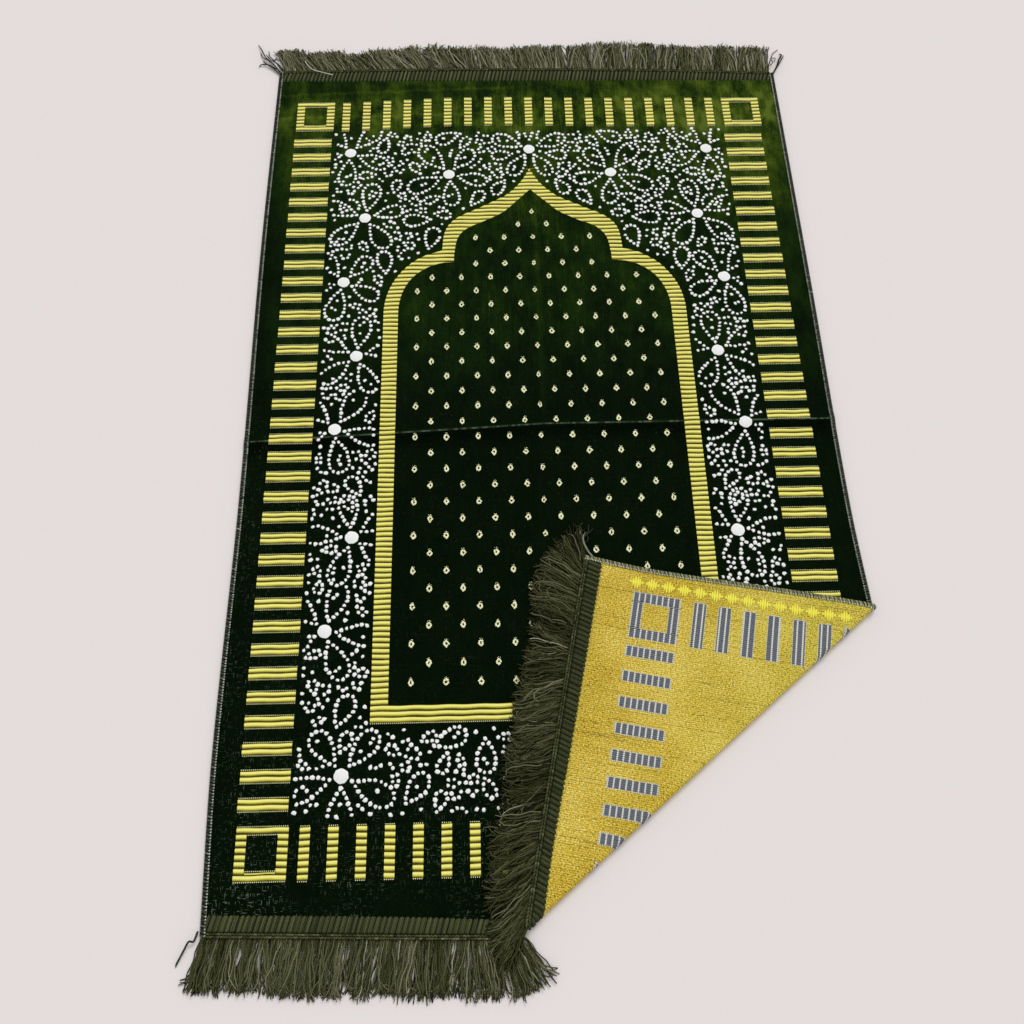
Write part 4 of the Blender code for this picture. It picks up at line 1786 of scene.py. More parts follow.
@dataclass
class LaceFlowers:
    """White tufts strung into flowers, tendrils and curls round the niche."""

    wardrobe: Wardrobe
    niche: Niche
    half_width: float = 0.2575
    bottom: float = -0.4415
    top: float = 0.4470
    band_clearance: float = 0.0055
    disc_radius: float = 0.0082
    spacing: float = 0.0057
    tuft_gap: float = 0.0050
    chain_gap: float = 0.0078
    tuft_radius: float = 0.00250
    petals: int = 5
    petal_length: float = 0.043
    petal_width: float = 0.023
    small_length: float = 0.0135
    small_width: float = 0.0095
    tries: int = 9000
    loop_sizes: tuple[float, ...] = (0.034, 0.027, 0.021, 0.016, 0.0125)
    loop_tries: int = 1100
    loop_width: float = 0.58
    loop_room: float = 0.93

    def __post_init__(self) -> None:
        """Starts with no tufts."""
        self.tufts: list[Pair] = []
        self.cells: dict[tuple[int, int], list[Pair]] = {}

    def inside(self, u: float, v: float) -> bool:
        """Whether a tuft at that place is within the lace and clear of the niche.

        Args:
            u: the place across the rug.
            v: the place along the rug.

        Returns:
            Whether it is.
        """
        if abs(u) > self.half_width or not self.bottom < v < self.top:
            return False
        if v < self.niche.bottom_outer - self.band_clearance:
            return True
        reach = max(float(self.niche.outer(np.float64(v + shift))) for shift in (-0.006, 0.0, 0.004))
        return abs(u - self.niche.middle) > reach + self.band_clearance

    def clear(self, u: float, v: float, gap: float) -> bool:
        """Whether no other tuft is nearer than the gap.

        Args:
            u: the place across the rug.
            v: the place along the rug.
            gap: the distance.

        Returns:
            Whether there is room.
        """
        size = 0.01
        home = (math.floor(u / size), math.floor(v / size))
        reach = math.ceil(gap / size)
        for i in range(home[0] - reach, home[0] + reach + 1):
            for j in range(home[1] - reach, home[1] + reach + 1):
                for other in self.cells.get((i, j), ()):
                    if math.hypot(u - other[0], v - other[1]) < gap:
                        return False
        return True

    def place(self, u: float, v: float, gap: float) -> bool:
        """Sets one tuft if there is room.

        Args:
            u: its place across the rug.
            v: its place along the rug.
            gap: how far it keeps from the others.

        Returns:
            Whether it was set.
        """
        if not self.inside(u, v) or not self.clear(u, v, gap):
            return False
        self.tufts.append((u, v))
        self.cells.setdefault((math.floor(u / 0.01), math.floor(v / 0.01)), []).append((u, v))
        return True

    def string(self, course: Array, needed: float = 0.0) -> bool:
        """Sets tufts at an even spacing along a curve.

        Args:
            course: closely spaced points of the curve.
            needed: the share of its tufts that must have room, or none is set.

        Returns:
            Whether they were set.
        """
        steps = np.linalg.norm(np.diff(course, axis=0), axis=1)
        along = np.concatenate([[0.0], np.cumsum(steps)])
        count = max(2, round(along[-1] / self.spacing))
        stops = np.linspace(0, along[-1], count + 1)
        across = np.interp(stops, along, course[:, 0]).tolist()
        stations = list(zip(across, np.interp(stops, along, course[:, 1]).tolist()))
        room = [self.inside(u, v) and self.clear(u, v, self.tuft_gap) for u, v in stations]
        if sum(room) < needed * len(room):
            return False
        for u, v in stations:
            self.place(u, v, self.tuft_gap)
        return True

    def petal(self, centre: Pair, heading: float, start: float, length: float, width: float) -> Array:
        """Draws one teardrop petal.

        Args:
            centre: the flower's middle.
            heading: the petal's direction in radians.
            start: how far from the middle it begins.
            length: its length.
            width: its width.

        Returns:
            Closely spaced points round it.
        """
        turn = np.linspace(0, 2 * math.pi, 90)
        out = start + length * (1 - np.cos(turn)) / 2
        side = width / 2 * np.sin(turn) * np.sqrt((1 - np.cos(turn)) / 2) * 1.25
        u = centre[0] + out * math.cos(heading) - side * math.sin(heading)
        v = centre[1] + out * math.sin(heading) + side * math.cos(heading)
        return np.column_stack([u, v])

    def flower(self, place: FlowerPlace, start: float, length: float, width: float, draw: Draw) -> None:
        """Strings the petals of one flower.

        Args:
            place: its middle and its turn.
            start: how far from its middle the petals begin.
            length: a petal's length.
            width: a petal's width.
            draw: the source of their unevenness.
        """
        for k in range(self.petals):
            heading = math.radians(place.turn + 360 * k / self.petals + draw.uniform(-7, 7))
            scale = draw.uniform(0.86, 1.12)
            centre = (place.across, place.along)
            self.string(self.petal(centre, heading, start, length * scale, width * scale))

    def loops(self, draw: Draw) -> None:
        """Fills the larger gaps with single teardrop loops, the longest first.

        Args:
            draw: the source of their unevenness.
        """
        for size in self.loop_sizes:
            for _ in range(self.loop_tries):
                middle = (draw.uniform(0, self.half_width), draw.uniform(self.bottom, self.top))
                heading = draw.uniform(0, 2 * math.pi)
                if self.inside(*middle):
                    course = self.petal(middle, heading, 0.0, size, size * self.loop_width)
                    self.string(course, self.loop_room)

    def curls(self, draw: Draw) -> None:
        """Fills what is left with short curling tendrils.

        Args:
            draw: the source of their unevenness.
        """
        for _ in range(self.tries):
            u = draw.uniform(0, self.half_width)
            v = draw.uniform(self.bottom, self.top)
            if not self.inside(u, v) or not self.clear(u, v, self.chain_gap):
                continue
            heading = draw.uniform(0, 2 * math.pi)
            bend = draw.choice((-1, 1)) * draw.uniform(14, 44)
            for _ in range(int(draw.integers(4, 9))):
                if not self.place(u, v, self.tuft_gap + 0.0005):
                    break
                u += self.spacing * math.cos(heading)
                v += self.spacing * math.sin(heading)
                heading += math.radians(bend)
                bend *= 1.08

    def compose(self) -> None:
        """Strings the right half's flowers, tendrils and curls in order."""
        draw = np.random.default_rng(31)
        for flower in LARGE_FLOWERS:
            for shift in np.linspace(0, 2 * math.pi, 9)[:-1]:
                self.cells.setdefault(
                    (math.floor(flower.across / 0.01), math.floor(flower.along / 0.01)), []
                ).append((flower.across + 0.006 * math.cos(shift), flower.along + 0.006 * math.sin(shift)))
        for flower in LARGE_FLOWERS:
            self.flower(flower, self.disc_radius + 0.004, self.petal_length, self.petal_width, draw)
        for flower in SMALL_FLOWERS:
            self.flower(flower, 0.0035, self.small_length, self.small_width, draw)
        self.loops(draw)
        self.curls(draw)

    def build(self, ribs: RibbedFigures) -> list[Piece]:
        """Makes the tufts and discs of both halves.

        Args:
            ribs: the figures, which tell what is hidden.

        Returns:
            The tufts and the discs.
        """
        self.compose()
        draw = np.random.default_rng(32)
        half = np.array([tuft for tuft in self.tufts if tuft[0] > -0.001])
        mirrored = half[half[:, 0] > 0.003] * np.array([-1, 1])
        both = np.concatenate([half, mirrored])
        both = np.array([tuft for tuft in both if not ribs.hidden(*tuft)])
        both = both + draw.normal(0, 0.0003, both.shape)
        radii = self.tuft_radius * draw.uniform(0.86, 1.14, len(both))
        stock = Stock(Reads.PLAN)
        stock.add_laid(*domes(both, radii, PLAN.pile - TUFT_SINK, TUFT_HEIGHT, 6, draw, uneven=0.27))
        tufts = fit(stock.make("lace_tufts", [self.wardrobe.white]), Slot.VELVET)
        discs = [(f.across, f.along) for f in LARGE_FLOWERS]
        discs = [(sign * u, v) for u, v in discs for sign in ((1, -1) if u else (1,))]
        seen = np.array([disc for disc in discs if not ribs.hidden(*disc)])
        stock = Stock(Reads.PLAN)
        sizes = np.full(len(seen), self.disc_radius)
        stock.add_laid(*domes(seen, sizes, PLAN.pile - TUFT_SINK, 0.0013, 22, draw, uneven=0.05))
        return [tufts, fit(stock.make("lace_discs", [self.wardrobe.white]), Slot.VELVET)]


@dataclass
class BackFigures:
    """The same figures seen from the back, in slate, and a row of raised yellow ribs."""

    wardrobe: Wardrobe
    ribs: RibbedFigures
    stand: float = 0.00030
    lip: float = 0.0002
    tick_pitch: float = 0.0021
    tick_length: float = 0.0010
    motif_line: float = 0.3245
    motif_half: float = 0.0074
    motif_pitch: float = 0.0170

    def plate(self, stock: Stock, low: Pair, high: Pair) -> None:
        """Weaves one flat patch and the ticks of thread round it.

        Args:
            stock: where its surface goes.
            low: its lower left corner on the plan.
            high: its upper right corner.
        """
        cell = 0.0025
        columns = max(2, round((high[0] - low[0]) / cell))
        rows = max(2, round((high[1] - low[1]) / cell))
        lip = self.lip
        us = np.concatenate([[low[0]], np.linspace(low[0] + lip, high[0] - lip, columns + 1), [high[0]]])
        vs = np.concatenate([[low[1]], np.linspace(low[1] + lip, high[1] - lip, rows + 1), [high[1]]])
        u, v = np.meshgrid(us, vs, indexing="ij")
        height = np.full(u.shape, PLAN.back + 0.0002 - self.stand)
        height[(0, -1), :] = PLAN.back + 0.0003
        height[:, (0, -1)] = PLAN.back + 0.0003
        plan = np.stack([u, v, height], axis=-1).reshape(-1, 3)
        stock.add_laid(plan, [grid_faces(*u.shape, Face.BACK)])
        self.ticks(stock, low, high)

    def ticks(self, stock: Stock, low: Pair, high: Pair) -> None:
        """Adds the short thread ends that stand out round a patch.

        Args:
            stock: where they go.
            low: the patch's lower left corner on the plan.
            high: its upper right corner.
        """
        us = np.arange(low[0], high[0], self.tick_pitch)
        vs = np.arange(low[1], high[1], self.tick_pitch)
        rims = [(us, high[1] + 0 * us, (0, 1)), (us, low[1] + 0 * us, (0, -1)),
                (low[0] + 0 * vs, vs, (-1, 0)), (high[0] + 0 * vs, vs, (1, 0))]
        half = self.tick_pitch * 0.25
        for u, v, out in rims:
            side = (abs(out[1]) * half, abs(out[0]) * half)
            reach = self.tick_length
            corners = [(-side[0], -side[1]), (side[0], side[1]),
                       (side[0] + out[0] * reach, side[1] + out[1] * reach),
                       (-side[0] + out[0] * reach, -side[1] + out[1] * reach)]
            plan = np.stack([np.column_stack([u + a, v + b, np.full(len(u), PLAN.back + 0.0002 - self.stand)])
                             for a, b in corners], axis=1)
            index = np.arange(len(u) * 4).reshape(-1, 4)
            turned = index[:, ::-1] if (out[0] - out[1]) < 0 else index
            stock.add_laid(plan.reshape(-1, 3), [turned], finish=1)

    def build(self) -> list[Piece]:
        """Makes the slate figures and the yellow ribs.

        Returns:
            The slate figures and the yellow ribs.
        """
        ribs = self.ribs
        stock = Stock(Reads.PLAN)
        for middle, table in ((ribs.left_middle, LEFT_BARS), (ribs.right_middle, RIGHT_BARS)):
            for level in ribs.bar_places(table):
                self.plate(stock, (middle - ribs.bar_half_length, level - ribs.bar_half_height),
                           (middle + ribs.bar_half_length, level + ribs.bar_half_height))
        half = ribs.end_bar_ribs * ribs.rib_pitch / 2
        for level in (0.4785, ribs.bottom_middle):
            for u in ribs.bar_places(END_ROW):
                wide = ribs.end_bar_half_width
                self.plate(stock, (u - wide, level - half), (u + wide, level + half))
        wide, ring = ribs.square_half_width, ribs.square_ring
        for u, level in SQUARES:
            for low, high in (((-wide, -half), (-wide + ring, half)), ((wide - ring, -half), (wide, half)),
                              ((-wide + ring, half - ring), (wide - ring, half)),
                              ((-wide + ring, -half), (wide - ring, -half + ring))):
                self.plate(stock, (u + low[0], level + low[1]), (u + high[0], level + high[1]))
        figures = fit(stock.make("back_figures", [self.wardrobe.slate, self.wardrobe.white]), Slot.VELVET)
        return [figures, self.motif()]

    def motif(self) -> Piece:
        """Makes a plain row of lozenges in raised yellow ribs beside the right edge.

        Returns:
            The piece.
        """
        stock = Stock(Reads.PLAN)
        draw = np.random.default_rng(41)
        for v in np.arange(-0.498, -0.262, self.motif_pitch):
            for share in (-0.84, -0.5, -0.17, 0.17, 0.5, 0.84):
                reach = self.motif_half * (1.08 - abs(share))
                along = v + share * self.motif_half
                stations = np.linspace(-1, 1, 5)
                path = np.zeros((1, 5, 3))
                path[0, :, 0] = self.motif_line + stations * reach
                path[0, :, 1] = along + draw.normal(0, 0.0001)
                path[0, :, 2] = PLAN.back
                radii = np.array([[0.0005, 0.0011, 0.0014, 0.0011, 0.0005]])
                places, _, faces = sweep(path, radii, 6, flatten=0.8)
                marks = places.copy()
                marks[:, 2] = PLAN.back + 0.0004 - places[:, 2]
                stock.add(PLAN.lay(places), marks, [faces[0], faces[1]])
        return fit(stock.make("back_lozenges", [self.wardrobe.motif]))


@dataclass
class Band:
    """One sewn band: tape, the cords wound over it, and a chain stitch along its outer edge."""

    wardrobe: Wardrobe
    name: str
    node: str
    seam: tuple[EdgePoint, ...]
    rim: tuple[EdgePoint, ...]
    outward: int
    held: Held
    tape_columns: int = 170
    tape_sink: float = 0.0004
    thread_pitch: float = 0.00125
    thread_radius: float = 0.00078
    tooth_pitch: float = 0.0053
    tooth_reach: float = 0.0016
    lean: float = 0.0042
    chain_pitch: float = 0.0034
    end_pitch: float = 0.0040
    back_shade: float = 0.12
    roundness: float = 0.7
    stop: float = 0.0036
    bulge_highlight: float = 0.66
    flat: Pair = (0.673, 0.0165)

    def tape(self) -> Piece:
        """Makes the tape, which stands for the band's CAD node.

        Returns:
            The tape.
        """
        left, right = edge(LEFT_EDGE), edge(RIGHT_EDGE)
        low, high = (self.seam, self.rim) if self.outward > 0 else (self.rim, self.seam)
        lower, upper = edge(low), edge(high)
        levels = [lambda u, s=k / 4: lower(u) + (upper(u) - lower(u)) * s for k in range(5)]
        sheet = Sheet(
            self.name + "_tape", lambda v: left(v) + PLAN.binding, lambda v: right(v) - PLAN.binding, levels,
            self.tape_columns, PLAN.pile - self.tape_sink, PLAN.back + self.tape_sink,
        )
        piece = fit(sheet.make([self.wardrobe.tape]), Slot.TAPE, self.node)
        return piece

    def wound(self, stock: Stock, face: Face, start: float, end: float, draw: Draw) -> None:
        """Winds the cords over one side of the tape.

        Args:
            stock: where they go.
            face: the side that they show on.
            start: where along the band they begin.
            end: where they end.
            draw: the source of their unevenness.
        """
        u = np.arange(start, end, self.thread_pitch)
        phase = (u / self.tooth_pitch) % 1.0
        bulge = np.sin(math.pi * phase) ** self.roundness
        seam, rim = follow(self.seam, u, "across"), follow(self.rim, u, "across")
        inner = seam - self.outward * (0.0006 + self.tooth_reach * bulge)
        outer = rim - self.outward * self.stop
        share = np.array([0.0, 0.14, 0.5, 0.86, 1.0])
        slant = self.lean * self.outward * face.value
        paths = np.zeros((len(u), len(share), 3))
        paths[..., 0] = (u + draw.normal(0, 0.0001, len(u)))[:, None] + slant * (share - 0.5)
        paths[..., 1] = inner[:, None] + (outer - inner)[:, None] * share
        rise = np.array([-0.2, 0.72, 1.0, 0.8, 0.1])
        level = PLAN.pile - 0.0005 + (0.0002 + 0.0015 * bulge)[:, None] * rise
        paths[..., 2] = level * face.value
        radii = np.tile([0.55, 0.95, 1.0, 1.0, 0.8], (len(u), 1)) * self.thread_radius
        shade = 0.0 if face is Face.PILE else self.back_shade
        # Each cord is painted lighter where it bulges up over a tooth and darker where it sinks: painted
        # highlight and shade.
        wind(stock, paths, radii, -0.05 - shade + self.bulge_highlight * bulge + draw.normal(0, 0.08, len(u)))

    def chained(self, stock: Stock, face: Face, start: float, end: float, draw: Draw) -> None:
        """Sews the chain stitch along the band's outer edge.

        Args:
            stock: where they go.
            face: the side that they show on.
            start: where along the band they begin.
            end: where they end.
            draw: the source of their unevenness.
        """
        u = np.arange(start, end, self.chain_pitch)
        line = follow(self.rim, u, "across") - self.outward * 0.0012
        for side in (-1, 1):
            share = np.array([0.0, 0.3, 0.7, 1.0])
            paths = np.zeros((len(u), 4, 3))
            paths[..., 0] = u[:, None] + self.chain_pitch * 1.25 * share
            paths[..., 1] = line[:, None] + side * 0.0014 * np.array([0.1, 1.0, 0.8, 0.0])
            paths[..., 2] = (PLAN.pile + np.array([0.0002, 0.0014, 0.0012, 0.0002])) * face.value
            radii = np.tile([0.5, 1.0, 1.0, 0.5], (len(u), 1)) * 0.00105
            wind(stock, paths, radii, 0.50 + draw.normal(0, 0.16, len(u)))

    def seam_ends(self, stock: Stock, start: float, end: float, draw: Draw) -> None:
        """Adds the pale ends of the seam's stitches, which show on the back.

        Args:
            stock: where they go.
            start: where along the band they begin.
            end: where they end.
            draw: the source of their unevenness.
        """
        u = np.arange(start, end, self.end_pitch)
        centres = np.column_stack([u, follow(self.seam, u, "across") - self.outward * 0.0026])
        radii = draw.uniform(0.0011, 0.0016, len(u))
        foot = -PLAN.back - self.tape_sink
        plan, faces = domes(centres, radii, foot, 0.0011, 5, draw, uneven=0.25, face=Face.BACK)
        stock.add(PLAN.lay(plan), np.column_stack([plan[:, :2], np.full(len(plan), 0.6)]), faces, finish=1)

    def build(self, spans: list[tuple[Face, float, float]]) -> list[Piece]:
        """Makes the tape and its stitches.

        Args:
            spans: each side that shows, with where it starts and ends.

        Returns:
            The tape and the stitches.
        """
        tape = self.tape()
        draw = np.random.default_rng(51)
        stock = Stock(Reads.YARN)
        for face, start, end in spans:
            self.wound(stock, face, start, end, draw)
            self.chained(stock, face, start, end, draw)
            if face is Face.BACK:
                self.seam_ends(stock, start, end, draw)
        stitches = stock.make(self.name + "_stitches", [self.wardrobe.cord, self.wardrobe.end], YARN_SHARP)
        return [tape, fit(stitches, Slot.TAPE)]


@dataclass
class Binding:
    """The overcast edge of one side: threads wound round it and a line of white lock stitches."""

    wardrobe: Wardrobe
    name: str
    node: str
    table: tuple[EdgePoint, ...]
    outward: int
    pitch: float = 0.0017
    radius: float = 0.00105
    slant: float = 0.0022
    overhang: float = 0.0002
    stripe: float = 0.0043
    ends: tuple[LooseEnd, ...] = ()
    lock_pitch: float = 0.0028
    tone: float = 0.34
    tone_swing: float = 0.34

    def wound(self, stock: Stock, v: Array, face: Face, finish: int, draw: Draw) -> None:
        """Winds the threads over the edge on one side.

        Args:
            stock: where they go.
            v: where each thread lies along the rug.
            face: the side that they show on.
            finish: which finish they wear.
            draw: the source of their unevenness.
        """
        rim = follow(self.table, v, "across")
        share = np.array([0.0, 0.2, 0.5, 0.8, 1.0])
        inner = rim - self.outward * (PLAN.binding + 0.0004)
        outer = rim + self.outward * self.overhang
        paths = np.zeros((len(v), 5, 3))
        paths[..., 0] = inner[:, None] + (outer - inner)[:, None] * share
        paths[..., 1] = v[:, None] + self.slant * (share - 0.5) * face.value
        paths[..., 2] = (PLAN.pile - 0.0006 + 0.0009 * np.array([0.0, 0.8, 1.0, 0.7, -0.6])) * face.value
        radii = np.tile([0.6, 1.0, 1.0, 0.95, 0.6], (len(v), 1)) * self.radius
        swing = self.tone_swing * np.sin(2 * math.pi * v / self.stripe)
        wind(stock, paths, radii, self.tone + swing + draw.normal(0, 0.07, len(v)), finish)

    def locked(self, stock: Stock, v: Array, face: Face, finish: int, draw: Draw) -> None:
        """Sews the line of white lock stitches along the binding's inner side.

        Args:
            stock: where they go.
            v: where each stitch lies along the rug.
            face: the side that they show on.
            finish: which finish they wear.
            draw: the source of their unevenness.
        """
        line = follow(self.table, v, "across") - self.outward * (PLAN.binding - 0.0004)
        share = np.array([-0.5, 0.0, 0.5])
        paths = np.zeros((len(v), 3, 3))
        paths[..., 0] = line[:, None] + 0.0003 * share
        paths[..., 1] = v[:, None] + self.lock_pitch * 0.50 * share
        paths[..., 2] = (PLAN.pile + np.array([0.0004, 0.0011, 0.0004])) * face.value
        radii = np.tile([0.55, 0.95, 0.55], (len(v), 1)) * self.radius
        wind(stock, paths, radii, draw.normal(0.93, 0.08, len(v)), finish)

    def trail(self, stock: Stock, end: LooseEnd) -> None:
        """Adds one loose end of thread on a smooth curve through its points.

        Args:
            stock: where they go.
            end: the loose end.
        """
        points = np.array(end.points)
        knots = np.arange(len(points), dtype=float)
        slopes = np.gradient(points, axis=0)
        share = np.linspace(0, len(points) - 1, 6 * len(points))
        k = np.clip(share.astype(int), 0, len(points) - 2)
        t = (share - knots[k])[:, None]
        path = (1 + 2 * t) * (1 - t) ** 2 * points[k] + t * (1 - t) ** 2 * slopes[k]
        path += t**2 * (3 - 2 * t) * points[k + 1] - t**2 * (1 - t) * slopes[k + 1]
        radii = end.radius * np.interp(share, [0, share[-1] * 0.8, share[-1]], [1.0, 0.9, 0.5])
        places, marks, faces = sweep(path[None], radii[None], 6)
        stock.add(places, toned(marks, np.array([end.tone])), faces)

    def build(self, bottom: float, top: float) -> Piece:
        """Makes the binding between two levels, with its back where the corner is folded.

        Args:
            bottom: its lower end.
            top: its upper end.

        Returns:
            The piece.
        """
        stock = Stock(Reads.YARN)
        draw = np.random.default_rng(61)
        v = np.arange(bottom, top, self.pitch)
        lock = np.arange(bottom, top, self.lock_pitch)
        past = PLAN.past_fold(follow(self.table, v, "across"), v)
        lock_past = PLAN.past_fold(follow(self.table, lock, "across"), lock)
        self.wound(stock, v[past < 0.004], Face.PILE, 0, draw)
        self.locked(stock, lock[lock_past < 0.0], Face.PILE, 0, draw)
        self.wound(stock, v, Face.BACK, 1, draw)
        self.locked(stock, lock, Face.BACK, 1, draw)
        for end in self.ends:
            self.trail(stock, end)
        piece = stock.make(self.name, [self.wardrobe.edging, self.wardrobe.serging], YARN_SHARP)
        return fit(piece, Slot.THREAD, self.node)


class Rest(Enum):
    """What a run of fringe lies on, by its height."""

    FLOOR = 0.0
    CLOTH = 0.0040


@dataclass
class FringeRun:
    """One run of loose strands along a band."""

    wardrobe: Wardrobe
    name: str
    strands: tuple[Strands, ...]
    rim: tuple[EdgePoint, ...]
    outward: int
    start: float
    end: float
    count: int
    rest: Rest
    seed: int
    # The share of strands painted pale, as painted highlights.
    pale: float = 0.012
    unruly: float = 1.0
    tone: float = 0.26
    gather: Pair = (0.10, 0.42)
    spread: float = 0.13
    bunch_width: float = 0.011
    radius: float = 0.00062
    layer: float = 0.0028
    wave: float = 9.0
    wave_length: float = 0.021
    stations: tuple[float, ...] = (0.0, 0.07, 0.18, 0.30, 0.42, 0.54, 0.66, 0.78, 0.90, 1.0)
    taper: tuple[float, ...] = (1.0, 1.0, 1.0, 1.0, 1.0, 1.0, 1.0, 0.98, 0.95, 0.80)

    def aims(self, bunch: Array, roots: Array, reach: Array, draw: Draw) -> Array:
        """Turns the strands: each bunch leans and bends together, and each strand waves and hooks a little.

        Args:
            bunch: the bunch that each strand belongs to.
            roots: where each strand starts.
            reach: its length.
            draw: the source of its unevenness.

        Returns:
            The direction in radians at each station.
        """
        bunches = int(bunch.max()) + 1
        count = len(roots)
        lean = draw.normal(0, 3.2, bunches)[bunch] + draw.normal(0, 3.6 * self.unruly, count)
        bend = draw.normal(0, 9.0, bunches)[bunch] + draw.normal(0, 6.5 * self.unruly, count)
        hook = draw.normal(0, 26.0 * self.unruly, count)
        share = np.array(self.stations)
        phase = draw.uniform(0, 2 * math.pi, bunches)[bunch] + draw.normal(0, 0.9, count)
        swing = self.wave * self.unruly * draw.uniform(0.3, 1.5, count)
        turns = 2 * math.pi * reach[:, None] * share / self.wave_length
        waves = swing[:, None] * np.sin(turns + phase[:, None])
        aim = (follow(self.strands, roots, "heading") + lean)[:, None] + bend[:, None] * share
        return np.radians(aim + waves + hook[:, None] * smooth_step((share - 0.72) / 0.28))

    def paths(self) -> tuple[Array, Array, Array]:
        """Draws the strands in bunches that lie side by side and over each other.

        Returns:
            Their centre lines, their radii and their tones.
        """
        draw = np.random.default_rng(self.seed)
        roots = np.sort(draw.uniform(self.start, self.end, self.count))
        cuts = np.cumsum(draw.uniform(0.45, 1.6, 400)) * self.bunch_width + self.start
        bunch = np.searchsorted(cuts, roots)
        bunches = int(bunch.max()) + 1
        middles = np.array([roots[bunch == k].mean() if np.any(bunch == k) else 0.0 for k in range(bunches)])
        reach = follow(self.strands, roots, "reach") * draw.uniform(0.94, 1.05, bunches)[bunch]
        reach = reach * np.clip(draw.normal(0.98, 0.040, self.count), 0.6, 1.08)
        share = np.array(self.stations)
        aim = self.aims(bunch, roots, reach, draw)
        aim = (aim[:, 1:] + aim[:, :-1]) / 2
        step = reach[:, None] * np.diff(share)
        walk = np.zeros((self.count, len(share), 2))
        walk[:, 1:, 0] = np.cumsum(step * np.cos(aim), axis=1)
        walk[:, 1:, 1] = np.cumsum(step * np.sin(aim), axis=1)
        side = Face.PILE.value if self.rest is Rest.FLOOR else Face.BACK.value
        height = draw.uniform(-0.6, 0.9, self.count) * PLAN.pile * side
        rim = follow(self.rim, roots, "across") - self.outward * 0.0010
        base = PLAN.lay(np.column_stack([roots, rim, height]))
        shared = middles[bunch]
        centre = PLAN.lay(np.column_stack([shared, follow(self.rim, shared, "across"), height]))
        gather = draw.uniform(*self.gather, bunches)[bunch]
        pull = (centre - base)[:, None, :2] * (gather[:, None] * share**1.3)[..., None]
        paths = np.zeros((self.count, len(share), 3))
        paths[..., :2] = base[:, None, :2] + walk + pull
        depth = draw.uniform(0, 1, self.count) ** 1.5
        level = self.rest.value + self.radius + self.layer * depth
        settle = smooth_step(share * 2.2)
        arch = draw.uniform(0, 0.0014, self.count)[:, None] * np.sin(math.pi * share)
        paths[..., 2] = base[:, None, 2] * (1 - settle) + level[:, None] * settle + arch
        paths[..., 2] = np.maximum(paths[..., 2], self.rest.value + self.radius)
        radii = self.radius * draw.uniform(0.82, 1.14, (self.count, 1)) * np.array(self.taper)
        # Strands higher in the heap are painted lighter and those under them darker: painted light and shade.
        tones = draw.normal(self.tone, self.spread, self.count) + 0.34 * depth
        tones = tones + draw.normal(0, 0.05, bunches)[bunch]
        tones = np.clip(tones, 0.0, 0.8)
        # A few strands are painted pale, as painted highlights.
        tones = np.where(draw.uniform(0, 1, self.count) < self.pale, 0.95, tones)
        return paths, radii, tones

    def build(self) -> Piece:
        """Makes the run of strands.

        Returns:
            The piece.
        """
        paths, radii, tones = self.paths()
        places, marks, faces = sweep(paths, radii, YARN_SIDES)
        stock = Stock(Reads.YARN)
        stock.add(places, toned(marks, tones), faces)
        return fit(stock.make(self.name, [self.wardrobe.fringe], YARN_SHARP), Slot.YARN)


@dataclass
class Studio:
    """The floor, the light and the camera."""

    floor_side: float = 24.0
    floor_tint: Tint = tint(236, 229, 228)
    sky: float = 0.62
    sun: float = 1.25
    sun_softness: float = math.radians(28)
    sun_from: Triple = (0.35, 0.80, 1.0)
    camera_place: Triple = (-0.04633, -0.60284, 1.02909)
    pitch: float = math.radians(64.8426)
    yaw: float = math.radians(2.4001)
    roll: float = math.radians(1.0208)
    lens: float = 36.0

    def floor(self) -> None:
        """Lays a plain pale floor just under the rug."""
        mesh = bpy.data.meshes.new("floor")
        half = self.floor_side / 2
        corners = [(-half, -half, 0.0), (half, -half, 0.0), (half, half, 0.0), (-half, half, 0.0)]
        mesh.from_pydata(corners, [], [(0, 1, 2, 3)])
        floor = bpy.data.objects.new("floor", mesh)
        floor.location.z = -0.0002
        material = bpy.data.materials.new("pale_floor")
        material.use_nodes = True
        shader = material.node_tree.nodes["Principled BSDF"]
        shader.inputs["Base Color"].default_value = self.floor_tint
        shader.inputs["Roughness"].default_value = 0.9
        shader.inputs["Specular IOR Level"].default_value = 0.0
        mesh.materials.append(material)
        bpy.context.scene.collection.objects.link(floor)

    def light(self) -> None:
        """Sets an even sky and one soft sun from beyond the niche's point."""
        world = bpy.data.worlds.new("studio")
        world.use_nodes = True
        background = world.node_tree.nodes["Background"]
        background.inputs["Color"].default_value = (1.0, 1.0, 1.0, 1.0)
        background.inputs["Strength"].default_value = self.sky
        bpy.context.scene.world = world
        bpy.context.scene.view_settings.view_transform = "Standard"
        lamp = bpy.data.lights.new("soft_sun", "SUN")
        lamp.energy = self.sun
        lamp.angle = self.sun_softness
        sun = bpy.data.objects.new("soft_sun", lamp)
        sun.rotation_euler = Vector(self.sun_from).to_track_quat("Z", "Y").to_euler()
        bpy.context.scene.collection.objects.link(sun)

    def camera(self) -> None:
        """Stands the camera over the rug's near end."""
        ahead = Vector((
            math.sin(self.yaw) * math.cos(self.pitch),
            math.cos(self.yaw) * math.cos(self.pitch),
            -math.sin(self.pitch),
        ))
        level = Vector((math.cos(self.yaw), -math.sin(self.yaw), 0.0))
        upright = level.cross(ahead)
        right = level * math.cos(self.roll) + upright * math.sin(self.roll)
        up = upright * math.cos(self.roll) - level * math.sin(self.roll)
        data = bpy.data.cameras.new("camera")
        data.lens = self.lens
        data.sensor_width = 36.0
        data.clip_start = 0.01
        camera = bpy.data.objects.new("camera", data)
        turn = Matrix((right, up, -ahead)).transposed().to_4x4()
        camera.matrix_world = Matrix.Translation(self.camera_place) @ turn
        bpy.context.scene.collection.objects.link(camera)
        bpy.context.scene.camera = camera


